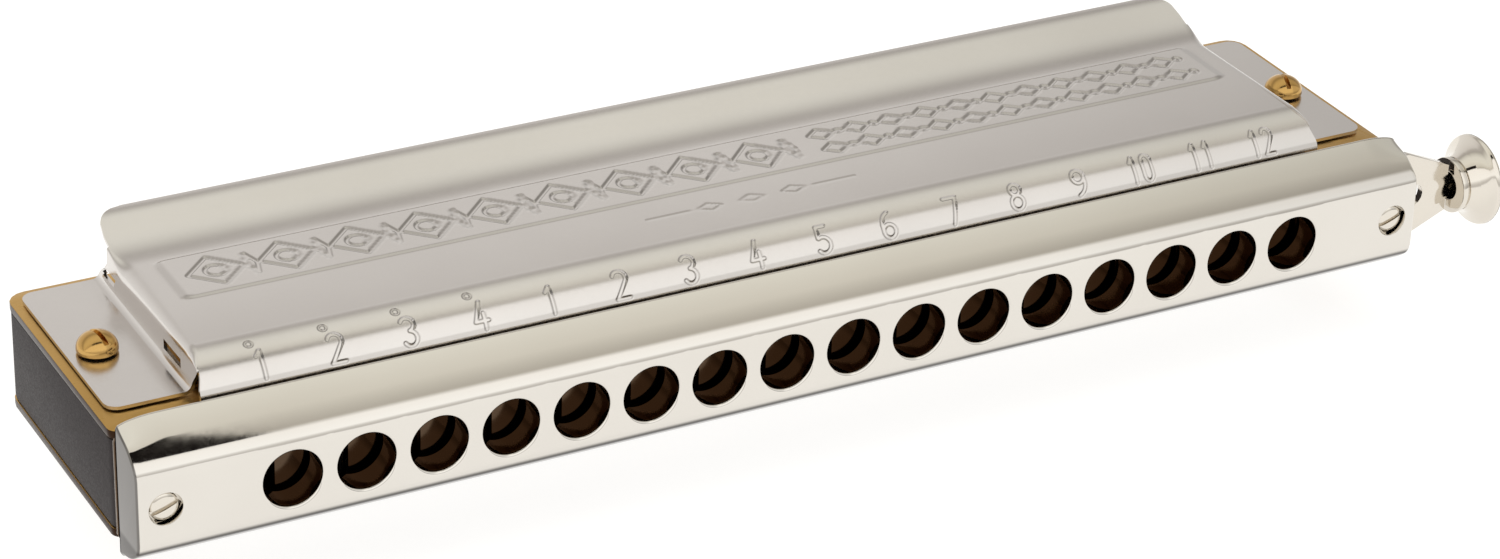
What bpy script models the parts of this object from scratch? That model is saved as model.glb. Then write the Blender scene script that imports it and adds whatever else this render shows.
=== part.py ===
"""A sixteen-hole chromatic harmonica, built as the assembly that comes apart on a repair bench.

Design frame, in metres: X runs along the instrument towards the slide button, Y runs back from the
front face of the mouthpiece, and Z is up, with Z = 0 halfway through the comb.  The empty
"harmonica_origin" carries everything, and puts the world origin under the middle of the whole
instrument, at the level of its lowest edge.
"""

import math

import bmesh
import bpy
from mathutils import Matrix

MM = 0.001

# ---- driving dimensions -------------------------------------------------------------------------

GAP = 0.25 * MM                      # clearance kept between pieces that touch or slide
HOLE_COUNT = 16
PITCH = 9.5 * MM                     # from one mouth hole to the next
TRAVEL = PITCH / 2                   # stroke of the slide
HOLE_RADIUS = 3.75 * MM

BODY_HALF_LENGTH = 91.1 * MM         # comb and reed plates
BODY_FRONT = 7.45 * MM
BODY_BACK = 44.5 * MM
PLATE_TOP = 7.25 * MM                # outer face of a reed plate
PLATE_THICKNESS = 1.05 * MM
REAR_CORNER_RADIUS = 2.6 * MM
FRONT_CORNER_RADIUS = 1.3 * MM

CHAMBER_WIDTH = 7.7 * MM
CHAMBER_FRONT = 9.4 * MM
CENTRE_WEB = 1.2 * MM                # floor between an upper and a lower chamber
SLOT_WIDTH = 2.4 * MM                # reed slot through a plate
SLOT_OFFSET = 1.95 * MM              # from the middle of a chamber to a slot
SLOT_FRONT = 11.5 * MM
LONGEST_SLOT = 26.0 * MM
SHORTEST_SLOT = 13.0 * MM
REED_PAD = 3.6 * MM                  # riveted end of a reed, behind its slot

MOUTH_HALF_LENGTH = 90.95 * MM
MOUTH_BACK = 6.4 * MM
MOUTH_FLAT = 4.2 * MM                # half the height of the flat front
MOUTH_SHOULDER = 2.6 * MM            # radius where the front turns into the slope
SHOULDER_TURN = 50                   # degrees that the shoulder turns through
MOUTH_CROWN = 27.2 * MM              # radius of the slope itself
CROWN_TURN = 63                      # degrees from upright at the rear edge
MOUTH_WALL = 4.0 * MM                # solid front wall, in front of the slide's channel
CHANNEL_HALF_HEIGHT = 7.2 * MM
CHANNEL_LEFT = -89.9 * MM

CAGE_FRONT = 4.3 * MM
CAGE_SHEET = 0.4 * MM
SLIDE_FRONT = 5.0 * MM
SLIDE_THICKNESS = 1.05 * MM
SLIDE_HALF_HEIGHT = 6.4 * MM
WINDOW_WIDTH = 3.9 * MM
WINDOW_HALF_HEIGHT = 5.2 * MM
BACKPLATE_FRONT = 6.65 * MM
BACKPLATE_THICKNESS = 0.5 * MM

MOUTH_SCREW_X = 87.3 * MM
COVER_BOLT_X = 86.0 * MM
COVER_BOLT_Y = 25.3 * MM
PLATE_SCREW_X = 77.0 * MM
PLATE_SCREW_YS = (14.8 * MM, 38.5 * MM)

SHEET = 0.45 * MM                    # cover sheet
FLANGE_TOP = PLATE_TOP + GAP + SHEET
FLANGE_END = 89.8 * MM
FLANGE_FRONT = 11.65 * MM
FLANGE_BACK = 42.7 * MM
FLANGE_CORNER = 1.6 * MM
WALL_X = 79.3 * MM                   # outer face of a cover's end wall
COVER_TOP = 13.1 * MM
COVER_SHOULDER = 6.4 * MM            # radius of the front shoulder
COVER_LIP = 15.85 * MM               # raised rear edge
COVER_BACK = 45.6 * MM

BUTTON_FACE = 100.4 * MM             # inner end of the button
BUTTON_END = 106.2 * MM
BUTTON_RADIUS = 6.3 * MM             # at the rim, which stands proud of the mouthpiece's face

SLIDE_AXIS_Y = SLIDE_FRONT + SLIDE_THICKNESS / 2

# The world origin, in the design frame: the middle of the whole outline, at its lowest edge.
ORIGIN_X = (BUTTON_END - BODY_HALF_LENGTH) / 2
ORIGIN_Y = (COVER_BACK + SLIDE_AXIS_Y - BUTTON_RADIUS) / 2
ORIGIN_Z = -COVER_LIP

HOLE_XS = [(index - (HOLE_COUNT - 1) / 2) * PITCH for index in range(HOLE_COUNT)]


# ---- scene, materials and helpers ---------------------------------------------------------------

def clear_scene():
    for old in list(bpy.data.objects):
        bpy.data.objects.remove(old, do_unlink=True)


def new_collection(name):
    collection = bpy.data.collections.new(name)
    bpy.context.scene.collection.children.link(collection)
    return collection


def new_material(name, color, metallic, roughness):
    material = bpy.data.materials.new(name)
    material.use_nodes = True
    shader = material.node_tree.nodes["Principled BSDF"]
    shader.inputs["Base Color"].default_value = (*color, 1.0)
    shader.inputs["Metallic"].default_value = metallic
    shader.inputs["Roughness"].default_value = roughness
    material.diffuse_color = (*color, 1.0)
    return material


clear_scene()
PARTS = new_collection("harmonica")
CUTTERS = new_collection("harmonica_cutters")

NICKEL = new_material("polished_nickel", (0.80, 0.76, 0.70), 1.0, 0.12)
STEEL = new_material("stainless_cover", (0.72, 0.70, 0.67), 1.0, 0.22)
BRASS = new_material("reed_brass", (0.80, 0.58, 0.25), 1.0, 0.25)
PLASTIC = new_material("comb_plastic", (0.045, 0.038, 0.036), 0.0, 0.5)
RUBBER = new_material("bumper_rubber", (0.03, 0.03, 0.03), 0.0, 0.8)

ORIGIN = bpy.data.objects.new("harmonica_origin", None)
ORIGIN.location = (-ORIGIN_X, -ORIGIN_Y, -ORIGIN_Z)
PARTS.objects.link(ORIGIN)
ORIGIN.hide_render = True

SLIDE_CARRIER = bpy.data.objects.new("slide_carrier", None)
SLIDE_CARRIER.location = (0.0, SLIDE_AXIS_Y, 0.0)
SLIDE_CARRIER.parent = ORIGIN
PARTS.objects.link(SLIDE_CARRIER)
SLIDE_CARRIER.hide_render = True


def attach(piece, material=None, parent=ORIGIN):
    """Put a piece in the harmonica, or among the cutters where it has no material."""
    piece.parent = parent
    if parent is SLIDE_CARRIER:
        piece.location.y -= SLIDE_AXIS_Y
    if material is None:
        CUTTERS.objects.link(piece)
        piece.hide_render = True
        piece.display_type = "WIRE"
    else:
        PARTS.objects.link(piece)
        piece.data.materials.append(material)
    return piece


def smooth(piece, angle=35):
    piece.data.shade_smooth()
    piece.data.set_sharp_from_angle(angle=math.radians(angle))


def mesh_object(name, bm):
    mesh = bpy.data.meshes.new(name)
    bmesh.ops.recalc_face_normals(bm, faces=bm.faces[:])
    bm.to_mesh(mesh)
    bm.free()
    return bpy.data.objects.new(name, mesh)


def boxes(name, corners):
    """One mesh of separate boxes, each given by its lowest and highest corner."""
    bm = bmesh.new()
    for low, high in corners:
        middle = [(a + b) / 2 for a, b in zip(low, high)]
        size = [b - a for a, b in zip(low, high)]
        place = Matrix.Translation(middle) @ Matrix.Diagonal((*size, 1.0))
        bmesh.ops.create_cube(bm, size=1.0, matrix=place)
    return mesh_object(name, bm)


def axis_turn(axis):
    """Rotation that takes +Z to the named axis."""
    turns = {
        "+Z": Matrix.Identity(4),
        "-Z": Matrix.Rotation(math.pi, 4, "X"),
        "+X": Matrix.Rotation(math.pi / 2, 4, "Y"),
        "+Y": Matrix.Rotation(-math.pi / 2, 4, "X"),
    }
    return turns[axis]


def rods(name, places, radius, start, end, axis, sides=16):
    """One mesh of separate cylinders along an axis, each centred on a point of `places`."""
    bm = bmesh.new()
    for place in places:
        shift = Matrix.Translation((0.0, 0.0, (start + end) / 2))
        matrix = Matrix.Translation(place) @ axis_turn(axis) @ shift
        bmesh.ops.create_cone(
            bm, cap_ends=True, segments=sides, radius1=radius, radius2=radius,
            depth=end - start, matrix=matrix,
        )
    return mesh_object(name, bm)


def turned(name, profile, place, axis, sides=24):
    """A solid of revolution: (radius, height) points down its outer side, from top to bottom."""
    mesh = bpy.data.meshes.new(name)
    closed = profile[0] == profile[-1]
    points = [(radius, 0.0, height) for radius, height in profile]
    if closed:
        points.pop()
    edges = [(index, index + 1) for index in range(len(points) - 1)]
    if closed:
        edges.append((len(points) - 1, 0))
    mesh.from_pydata(points, edges, [])
    piece = bpy.data.objects.new(name, mesh)
    piece.matrix_basis = Matrix.Translation(place) @ axis_turn(axis)
    screw = piece.modifiers.new("turn", "SCREW")
    screw.steps = sides
    screw.render_steps = sides
    screw.use_merge_vertices = True
    screw.merge_threshold = 0.00001
    screw.use_smooth_shade = True
    return piece


def flat_plate(name, outline, thickness, place, upright=False):
    """A flat outline given its thickness, lying in XY or standing in XZ, centred on `place`."""
    curve = bpy.data.curves.new(name, "CURVE")
    curve.dimensions = "2D"
    curve.fill_mode = "BOTH"
    curve.extrude = thickness / 2
    spline = curve.splines.new("POLY")
    spline.points.add(len(outline) - 1)
    for point, (u, v) in zip(spline.points, outline):
        point.co = (u, v, 0.0, 1.0)
    spline.use_cyclic_u = True
    guide = bpy.data.objects.new(name + "_outline", curve)
    guide.matrix_basis = Matrix.Translation(place)
    if upright:
        guide.matrix_basis = guide.matrix_basis @ Matrix.Rotation(math.pi / 2, 4, "X")
    return welded_mesh(name, guide)


def welded_mesh(name, guide):
    """The curve object `guide` as a closed mesh; the curve itself is removed."""
    CUTTERS.objects.link(guide)
    bpy.context.view_layer.update()
    evaluated = guide.evaluated_get(bpy.context.evaluated_depsgraph_get())
    mesh = bpy.data.meshes.new_from_object(evaluated)
    bm = bmesh.new()
    bm.from_mesh(mesh)
    bmesh.ops.remove_doubles(bm, verts=bm.verts[:], dist=0.00001)
    bmesh.ops.dissolve_limit(bm, angle_limit=0.001, verts=bm.verts[:], edges=bm.edges[:])
    bm.to_mesh(mesh)
    bm.free()
    mesh.name = name
    piece = bpy.data.objects.new(name, mesh)
    piece.matrix_basis = guide.matrix_basis.copy()
    bpy.data.objects.remove(guide, do_unlink=True)
    return piece


def arc(centre, radius, start, end, steps):
    """Points of an arc, with its angles in degrees."""
    points = []
    for step in range(steps + 1):
        angle = math.radians(start + (end - start) * step / steps)
        points.append((centre[0] + radius * math.cos(angle), centre[1] + radius * math.sin(angle)))
    return points


def rounded_outline(low, high, low_radius, high_radius, steps=4):
    """A rectangle, with one corner radius at its low V side and another at its high V side."""
    outline = []
    outline += arc((low[0] + low_radius, low[1] + low_radius), low_radius, 180, 270, steps)
    outline += arc((high[0] - low_radius, low[1] + low_radius), low_radius, 270, 360, steps)
    outline += arc((high[0] - high_radius, high[1] - high_radius), high_radius, 0, 90, steps)
    outline += arc((low[0] + high_radius, high[1] - high_radius), high_radius, 90, 180, steps)
    return outline


def boolean(piece, cutter, operation="DIFFERENCE", parent=ORIGIN):
    attach(cutter, parent=parent)
    modifier = piece.modifiers.new(cutter.name, "BOOLEAN")
    modifier.operation = operation
    modifier.solver = "EXACT"
    modifier.object = cutter


def slot_length(index):
    """The reeds shorten evenly from the lowest hole to the highest."""
    share = index / (HOLE_COUNT - 1)
    return LONGEST_SLOT + (SHORTEST_SLOT - LONGEST_SLOT) * share


def level_name(level):
    return "upper" if level > 0 else "lower"


# ---- comb and reed plates -----------------------------------------------------------------------

COMB_HALF_HEIGHT = PLATE_TOP - PLATE_THICKNESS - GAP


def chamber_box(index, level):
    x = HOLE_XS[index]
    back = SLOT_FRONT + slot_length(index) + REED_PAD + 0.8 * MM
    near = level * CENTRE_WEB / 2
    far = level * (COMB_HALF_HEIGHT + MM)
    return (
        (x - CHAMBER_WIDTH / 2, CHAMBER_FRONT, min(near, far)),
        (x + CHAMBER_WIDTH / 2, back, max(near, far)),
    )


def inlet_boxes(front, back, width=WINDOW_WIDTH):
    """Windows of the zigzag: the left half of a hole leads up, the right half down, or the other way
    round in every second hole, so that neighbouring holes are cross-tuned."""
    windows = []
    for index, x in enumerate(HOLE_XS):
        for side in (-1, 1):
            level = -side if index % 2 == 0 else side
            middle = x + side * TRAVEL / 2
            near = level * CENTRE_WEB / 2
            far = level * WINDOW_HALF_HEIGHT
            low = (middle - width / 2, front, min(near, far))
            high = (middle + width / 2, back, max(near, far))
            windows.append((low, high))
    return windows


def build_comb():
    outline = rounded_outline(
        (-BODY_HALF_LENGTH + 0.1 * MM, BODY_FRONT), (BODY_HALF_LENGTH - 0.1 * MM, BODY_BACK - 0.1 * MM),
        FRONT_CORNER_RADIUS, REAR_CORNER_RADIUS,
    )
    comb = flat_plate("comb", outline, 2 * COMB_HALF_HEIGHT, (0.0, 0.0, 0.0))
    attach(comb, PLASTIC)
    chambers = [chamber_box(index, level) for level in (1, -1) for index in range(HOLE_COUNT)]
    boolean(comb, boxes("comb_chambers", chambers))
    boolean(comb, boxes("comb_inlets", inlet_boxes(BODY_FRONT - MM, CHAMBER_FRONT + 0.5 * MM)))
    bolt_places = [(side * COVER_BOLT_X, COVER_BOLT_Y, 0.0) for side in (-1, 1)]
    boolean(comb, rods("comb_bolt_holes", bolt_places, 1.5 * MM, -8 * MM, 8 * MM, "+Z"))
    seats = [(side * MOUTH_SCREW_X, 0.0, 0.0) for side in (-1, 1)]
    boolean(comb, rods("comb_insert_seats", seats, 2.3 * MM, BODY_FRONT - MM, 14.0 * MM, "+Y"))
    screws = [(side * PLATE_SCREW_X, y, 0.0) for side in (-1, 1) for y in PLATE_SCREW_YS]
    for level, axis in ((1, "+Z"), (-1, "-Z")):
        name = "comb_plate_screw_holes_" + level_name(level)
        boolean(comb, rods(name, screws, 1.1 * MM, 2.2 * MM, 8 * MM, axis, sides=12))
    pocket = ((76.6 * MM, BODY_FRONT - MM, -1.5 * MM), (83.6 * MM, 12.6 * MM, 1.5 * MM))
    boolean(comb, boxes("comb_spring_pocket", [pocket]))
    return comb


def build_reed_plate(level):
    name = level_name(level) + "_reed_plate"
    outline = rounded_outline(
        (-BODY_HALF_LENGTH, BODY_FRONT), (BODY_HALF_LENGTH, BODY_BACK),
        FRONT_CORNER_RADIUS, REAR_CORNER_RADIUS,
    )
    height = level * (PLATE_TOP - PLATE_THICKNESS / 2)
    plate = flat_plate(name, outline, PLATE_THICKNESS, (0.0, 0.0, height))
    attach(plate, BRASS)
    slots = []
    for index, x in enumerate(HOLE_XS):
        for side in (-1, 1):
            middle = x + side * SLOT_OFFSET
            low = (middle - SLOT_WIDTH / 2, SLOT_FRONT, height - MM)
            high = (middle + SLOT_WIDTH / 2, SLOT_FRONT + slot_length(index), height + MM)
            slots.append((low, high))
    boolean(plate, boxes(name + "_slots", slots))
    bolt_places = [(side * COVER_BOLT_X, COVER_BOLT_Y, height) for side in (-1, 1)]
    boolean(plate, rods(name + "_bolt_holes", bolt_places, 1.5 * MM, -MM, MM, "+Z"))
    screws = [(side * PLATE_SCREW_X, y, height) for side in (-1, 1) for y in PLATE_SCREW_YS]
    boolean(plate, rods(name + "_screw_holes", screws, 1.1 * MM, -MM, MM, "+Z", sides=12))
    return plate


def build_reed(index, level):
    """An outer reed: a tongue over its slot, and a wider pad held by a rivet behind the slot."""
    name = f"{level_name(level)}_draw_reed_{index + 1:02d}"
    x = HOLE_XS[index] + SLOT_OFFSET * level
    tip = 0.3 * MM
    root = slot_length(index) + 0.3 * MM
    tongue = 1.0 * MM
    pad = 1.5 * MM
    pad_end = root + REED_PAD
    outline = [
        (-tongue, tip), (tongue, tip), (tongue, root), (pad, root + 0.6 * MM),
        (pad, pad_end), (-pad, pad_end), (-pad, root + 0.6 * MM), (-tongue, root),
    ]
    thickness = 0.3 * MM
    bottom = PLATE_TOP + GAP
    middle = bottom + thickness / 2
    reed = flat_plate(name, outline, thickness, (x * level, SLOT_FRONT, middle))
    attach(reed, BRASS)
    place = (x * level, SLOT_FRONT + root + 2.1 * MM, bottom)
    rivet = rods(name + "_rivet", [place], 0.85 * MM, 0.1 * MM, 0.75 * MM, "+Z", sides=10)
    boolean(reed, rivet, "UNION")
    if level < 0:
        turn_over(reed, rivet)
    return reed


# ---- cover plates -------------------------------------------------------------------------------

def cover_profile():
    """Outer (y, z) points of a cover, from its front foot, over the shoulder, to the raised lip."""
    foot = FLANGE_TOP - SHEET
    points = [(7.75 * MM, foot), (7.85 * MM, 9.2 * MM)]
    centre = (13.71 * MM, COVER_TOP - COVER_SHOULDER)
    points += arc(centre, COVER_SHOULDER, 150, 90, 5) + [(24.0 * MM, COVER_TOP)]
    points += [(34.7 * MM, COVER_TOP), (37.0 * MM, 13.3 * MM), (39.2 * MM, 13.8 * MM)]
    points += [(41.3 * MM, 14.5 * MM), (43.2 * MM, 15.3 * MM), (44.5 * MM, 15.75 * MM)]
    points += [(COVER_BACK, COVER_LIP)]
    return points


def cover_row_end(y, z):
    """How far along X the cover's sheet runs at a profile point, before its end wall starts."""
    straight = 77.4 * MM
    lip_start = 39.3 * MM
    if y > lip_start:
        radius = 4.2 * MM
        along = max(0.0, y - (COVER_BACK - radius))
        return 78.6 * MM - (radius - math.sqrt(radius ** 2 - min(along, radius) ** 2))
    if y < 13.5 * MM:
        return straight + 1.9 * MM * (COVER_TOP - z) / (COVER_TOP - FLANGE_TOP)
    return straight


def end_wall_stations():
    """(x, share of the height above the flange) down the rounded shoulder, wall and foot."""
    radius = 1.9 * MM
    rise = COVER_TOP - FLANGE_TOP
    stations = []
    for x, z in arc((WALL_X - radius, COVER_TOP - radius), radius, 65, 0, 3):
        stations.append((x, (z - FLANGE_TOP) / rise))
    foot = 0.9 * MM
    for x, z in arc((WALL_X + foot, FLANGE_TOP + foot), foot, 180, 270, 3):
        stations.append((x, (z - FLANGE_TOP) / rise))
    stations.append((FLANGE_END - FLANGE_CORNER, 0.0))
    stations.append((FLANGE_END, 0.0))
    return stations


def cover_half_sheet(name):
    """The outer surface of the +X half of a cover, open at the mirror plane."""
    bm = bmesh.new()
    rows = cover_profile()
    left = [bm.verts.new((0.0, y, z)) for y, z in rows]
    right = [bm.verts.new((cover_row_end(y, z), y, z)) for y, z in rows]
    for row in range(len(rows) - 1):
        bm.faces.new((left[row], right[row], right[row + 1], left[row + 1]))
    first = next(index for index, (y, z) in enumerate(rows) if y > 13.5 * MM)
    last = max(index for index, (y, z) in enumerate(rows) if y < 40.0 * MM)
    previous = right[first:last + 1]
    margins = None
    for x, share in end_wall_stations():
        current = []
        for y, z in rows[first:last + 1]:
            current.append(bm.verts.new((x, y, FLANGE_TOP + (z - FLANGE_TOP) * share)))
        for row in range(len(current) - 1):
            bm.faces.new((previous[row], current[row], current[row + 1], previous[row + 1]))
        if x > FLANGE_END - 2 * FLANGE_CORNER:
            margins = add_flange_margins(bm, previous, current, margins, x)
        previous = current
    bmesh.ops.recalc_face_normals(bm, faces=bm.faces[:])
    if sum(face.normal.z for face in bm.faces) < 0:
        bmesh.ops.reverse_faces(bm, faces=bm.faces[:])
    mesh = bpy.data.meshes.new(name)
    bm.to_mesh(mesh)
    bm.free()
    return bpy.data.objects.new(name, mesh)


def add_flange_margins(bm, previous, current, margins, x):
    """Carry the flange past the end wall, to its front and rear edges; returns their vertices."""
    corner = FLANGE_CORNER if x >= FLANGE_END else 0.0
    ys = (FLANGE_FRONT + corner, FLANGE_BACK - corner)
    if margins is None:
        margins = [bm.verts.new((previous[0].co.x, y, FLANGE_TOP)) for y in ys]
    outer = [bm.verts.new((x, y, FLANGE_TOP)) for y in ys]
    for end, side in ((0, 0), (-1, 1)):
        bm.faces.new((previous[end], margins[side], outer[side], current[end]))
    return outer


def build_cover(level):
    """Both covers are one pressing; the lower one is the upper one turned over about Y."""
    cover = cover_half_sheet(level_name(level) + "_cover")
    name = cover.name
    mirror = cover.modifiers.new("halves", "MIRROR")
    mirror.use_axis = (True, False, False)
    mirror.merge_threshold = 0.00001
    solidify = cover.modifiers.new("sheet", "SOLIDIFY")
    solidify.thickness = SHEET
    solidify.offset = -1.0
    solidify.use_even_offset = True
    attach(cover, STEEL)
    bolt_places = [(side * COVER_BOLT_X, COVER_BOLT_Y, FLANGE_TOP) for side in (-1, 1)]
    bolt_holes = rods(name + "_bolt_holes", bolt_places, 1.5 * MM, -MM, MM, "+Z")
    vent_corners = []
    for x in (-WALL_X, WALL_X):
        for front, back in ((14.9 * MM, 20.4 * MM), (36.8 * MM, 40.2 * MM)):
            low = (x - 0.7 * MM, front, 9.2 * MM)
            vent_corners.append((low, (x + 0.7 * MM, back, 10.5 * MM)))
    vents = boxes(name + "_vents", vent_corners)
    boolean(cover, bolt_holes)
    boolean(cover, vents)
    if level < 0:
        turn_over(cover, bolt_holes, vents)
    smooth(cover)
    return cover


def turn_over(*pieces):
    for piece in pieces:
        piece.matrix_basis = Matrix.Rotation(math.pi, 4, "Y") @ piece.matrix_basis


# ---- mouthpiece and slide assembly --------------------------------------------------------------

def mouth_profile():
    """(y, z) points around the mouthpiece: flat front, tight shoulders, gently crowned slopes."""
    shoulder = arc((MOUTH_SHOULDER, MOUTH_FLAT), MOUTH_SHOULDER, 180, 180 - SHOULDER_TURN, 3)
    y, z = shoulder[-1]
    turn = math.radians(SHOULDER_TURN)
    centre = (y + MOUTH_CROWN * math.cos(turn), z - MOUTH_CROWN * math.sin(turn))
    crown = arc(centre, MOUTH_CROWN, 180 - SHOULDER_TURN, 180 - CROWN_TURN, 2)
    y, z = crown[-1]
    end = (MOUTH_BACK, z + (MOUTH_BACK - y) / math.tan(math.radians(CROWN_TURN)))
    upper = shoulder + crown[1:] + [end]
    lower = [(y, -z) for y, z in reversed(upper)]
    return upper + lower


def build_mouthpiece():
    """The profile is drawn with Z across and Y down its outline, then stood along X."""
    outline = [(z, y) for y, z in mouth_profile()]
    blank = flat_plate("mouthpiece", outline, 2 * MOUTH_HALF_LENGTH, (0.0, 0.0, 0.0))
    turn = Matrix(((0, 0, 1, 0), (0, 1, 0, 0), (-1, 0, 0, 0), (0, 0, 0, 1)))
    blank.matrix_basis = turn
    attach(blank, NICKEL)
    rounding = blank.modifiers.new("end_edges", "BEVEL")
    rounding.width = 0.35 * MM
    rounding.segments = 2
    rounding.limit_method = "ANGLE"
    rounding.angle_limit = math.radians(60)
    channel = (
        (CHANNEL_LEFT, MOUTH_WALL, -CHANNEL_HALF_HEIGHT),
        (MOUTH_HALF_LENGTH + 2 * MM, MOUTH_BACK + 2 * MM, CHANNEL_HALF_HEIGHT),
    )
    boolean(blank, boxes("mouth_channel", [channel]))
    boolean(blank, mouth_hole_cutter())
    screws = [(side * MOUTH_SCREW_X, 0.0, 0.0) for side in (-1, 1)]
    boolean(blank, rods("mouth_counterbores", screws, 2.15 * MM, -MM, 1.9 * MM, "+Y", sides=16))
    boolean(blank, rods("mouth_screw_holes", screws, 1.2 * MM, 1.5 * MM, 5 * MM, "+Y", sides=12))
    smooth(blank)
    return blank


def mouth_hole_cutter():
    """A row of flared cutters, one through each mouth hole."""
    flare = 0.45 * MM
    profile = [(0.0, MOUTH_WALL + MM), (HOLE_RADIUS, MOUTH_WALL + MM), (HOLE_RADIUS, flare)]
    profile += [(HOLE_RADIUS + flare, 0.0), (HOLE_RADIUS + flare, -0.5 * MM), (0.0, -0.5 * MM)]
    cutter = turned("mouth_holes", profile, (HOLE_XS[0], 0.0, 0.0), "+Y", sides=16)
    row = cutter.modifiers.new("row", "ARRAY")
    row.count = HOLE_COUNT
    row.use_relative_offset = False
    row.use_constant_offset = True
    row.constant_offset_displace = (PITCH, 0.0, 0.0)
    return cutter


def build_slide_cage():
    """A thin channel that lies in the mouthpiece and guides the slide by its two edges."""
    inner = SLIDE_HALF_HEIGHT + GAP
    outer = inner + 0.3 * MM
    left = -89.4 * MM
    right = 90.4 * MM
    cage = boxes("slide_cage", [((left, CAGE_FRONT, -outer), (right, 6.3 * MM, outer))])
    attach(cage, NICKEL)
    hollow = ((left - MM, CAGE_FRONT + CAGE_SHEET, -inner), (right + MM, 8 * MM, inner))
    boolean(cage, boxes("cage_hollow", [hollow]))
    half = 4.3 * MM
    windows = []
    for x in HOLE_XS:
        windows.append(((x - half, 3 * MM, -half), (x + half, 5.2 * MM, half)))
    boolean(cage, boxes("cage_windows", windows))
    screws = [(side * MOUTH_SCREW_X, 0.0, 0.0) for side in (-1, 1)]
    boolean(cage, rods("cage_screw_holes", screws, 1.2 * MM, 3 * MM, 5.2 * MM, "+Y", sides=12))
    return cage


def build_slide():
    """A flat strip: a fork at its left end, seventeen windows, a long eye and a tapered tongue."""
    left = -84.6 * MM
    height = SLIDE_HALF_HEIGHT
    tongue = 1.6 * MM
    outline = [(left, -height), (92.9 * MM, -height), (99.9 * MM, -3.4 * MM)]
    outline += [(99.9 * MM, -tongue), (103.6 * MM, -tongue), (103.6 * MM, tongue)]
    outline += [(99.9 * MM, tongue), (99.9 * MM, 3.4 * MM), (92.9 * MM, height), (left, height)]
    slide = flat_plate(
        "slide", outline, SLIDE_THICKNESS, (0.0, SLIDE_AXIS_Y, 0.0), upright=True,
    )
    attach(slide, NICKEL, SLIDE_CARRIER)
    half = WINDOW_HALF_HEIGHT
    front = SLIDE_FRONT - MM
    back = SLIDE_FRONT + 3 * MM
    windows = []
    for x in HOLE_XS + [HOLE_XS[-1] + PITCH]:
        middle = x - TRAVEL / 2
        low = (middle - WINDOW_WIDTH / 2, front, -half)
        windows.append((low, (middle + WINDOW_WIDTH / 2, back, half)))
    boolean(slide, boxes("slide_windows", windows), parent=SLIDE_CARRIER)
    eye = slot_cutter("slide_eye", 87.1 * MM, 94.2 * MM, 1.65 * MM, front, back)
    boolean(slide, eye, parent=SLIDE_CARRIER)
    fork = slot_cutter("slide_fork", -90.0 * MM, -82.6 * MM, 1.65 * MM, front, back)
    boolean(slide, fork, parent=SLIDE_CARRIER)
    hook = rods("slide_spring_hole", [(82.9 * MM, 0.0, 0.0)], 0.75 * MM, front, back, "+Y", 12)
    boolean(slide, hook, parent=SLIDE_CARRIER)
    return slide


def slot_cutter(name, left, right, radius, front, back):
    """A bar with round ends, standing through a plate along Y."""
    outline = arc((left, 0.0), radius, 90, 270, 8) + arc((right, 0.0), radius, -90, 90, 8)
    return flat_plate(name, outline, back - front, (0.0, (front + back) / 2, 0.0), upright=True)


def build_backplate():
    """The thin plate that closes the channel behind the slide, with the zigzag of windows."""
    outline = rounded_outline(
        (-91.0 * MM, -6.9 * MM), (91.0 * MM, 6.9 * MM), 0.6 * MM, 0.6 * MM, steps=2,
    )
    middle = BACKPLATE_FRONT + BACKPLATE_THICKNESS / 2
    plate = flat_plate(
        "slide_backplate", outline, BACKPLATE_THICKNESS, (0.0, middle, 0.0), upright=True,
    )
    attach(plate, NICKEL)
    boolean(plate, boxes("backplate_windows", inlet_boxes(6 * MM, 8 * MM)))
    screws = [(side * MOUTH_SCREW_X, 0.0, 0.0) for side in (-1, 1)]
    boolean(plate, rods("backplate_holes", screws, 1.2 * MM, 6 * MM, 8 * MM, "+Y", sides=12))
    way = ((77.3 * MM, 6 * MM, -0.75 * MM), (83.6 * MM, 8 * MM, 0.75 * MM))
    boolean(plate, boxes("backplate_spring_way", [way]))
    return plate


def build_button():
    """A turned trumpet: a bored collar, a groove, and a flare that ends in a low dome."""
    length = BUTTON_END - BUTTON_FACE
    bore = 1.95 * MM
    profile = [(0.0, length), (2.4 * MM, length - 0.06 * MM), (4.6 * MM, length - 0.35 * MM)]
    profile += [(5.7 * MM, length - 0.75 * MM), (6.2 * MM, length - 1.15 * MM)]
    profile += [(BUTTON_RADIUS, length - 1.5 * MM), (6.1 * MM, length - 1.85 * MM)]
    profile += [(5.3 * MM, length - 2.3 * MM), (4.5 * MM, length - 2.9 * MM)]
    profile += [(3.95 * MM, length - 3.7 * MM), (3.75 * MM, 1.3 * MM), (3.35 * MM, 1.2 * MM)]
    profile += [(3.35 * MM, 0.95 * MM), (3.85 * MM, 0.85 * MM), (3.85 * MM, 0.0)]
    profile += [(bore, 0.0), (bore, 3.6 * MM), (0.0, 3.6 * MM)]
    place = (BUTTON_FACE, SLIDE_AXIS_Y, 0.0)
    button = turned("slide_button", profile, place, "+X", sides=20)
    attach(button, NICKEL, SLIDE_CARRIER)
    return button


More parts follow.
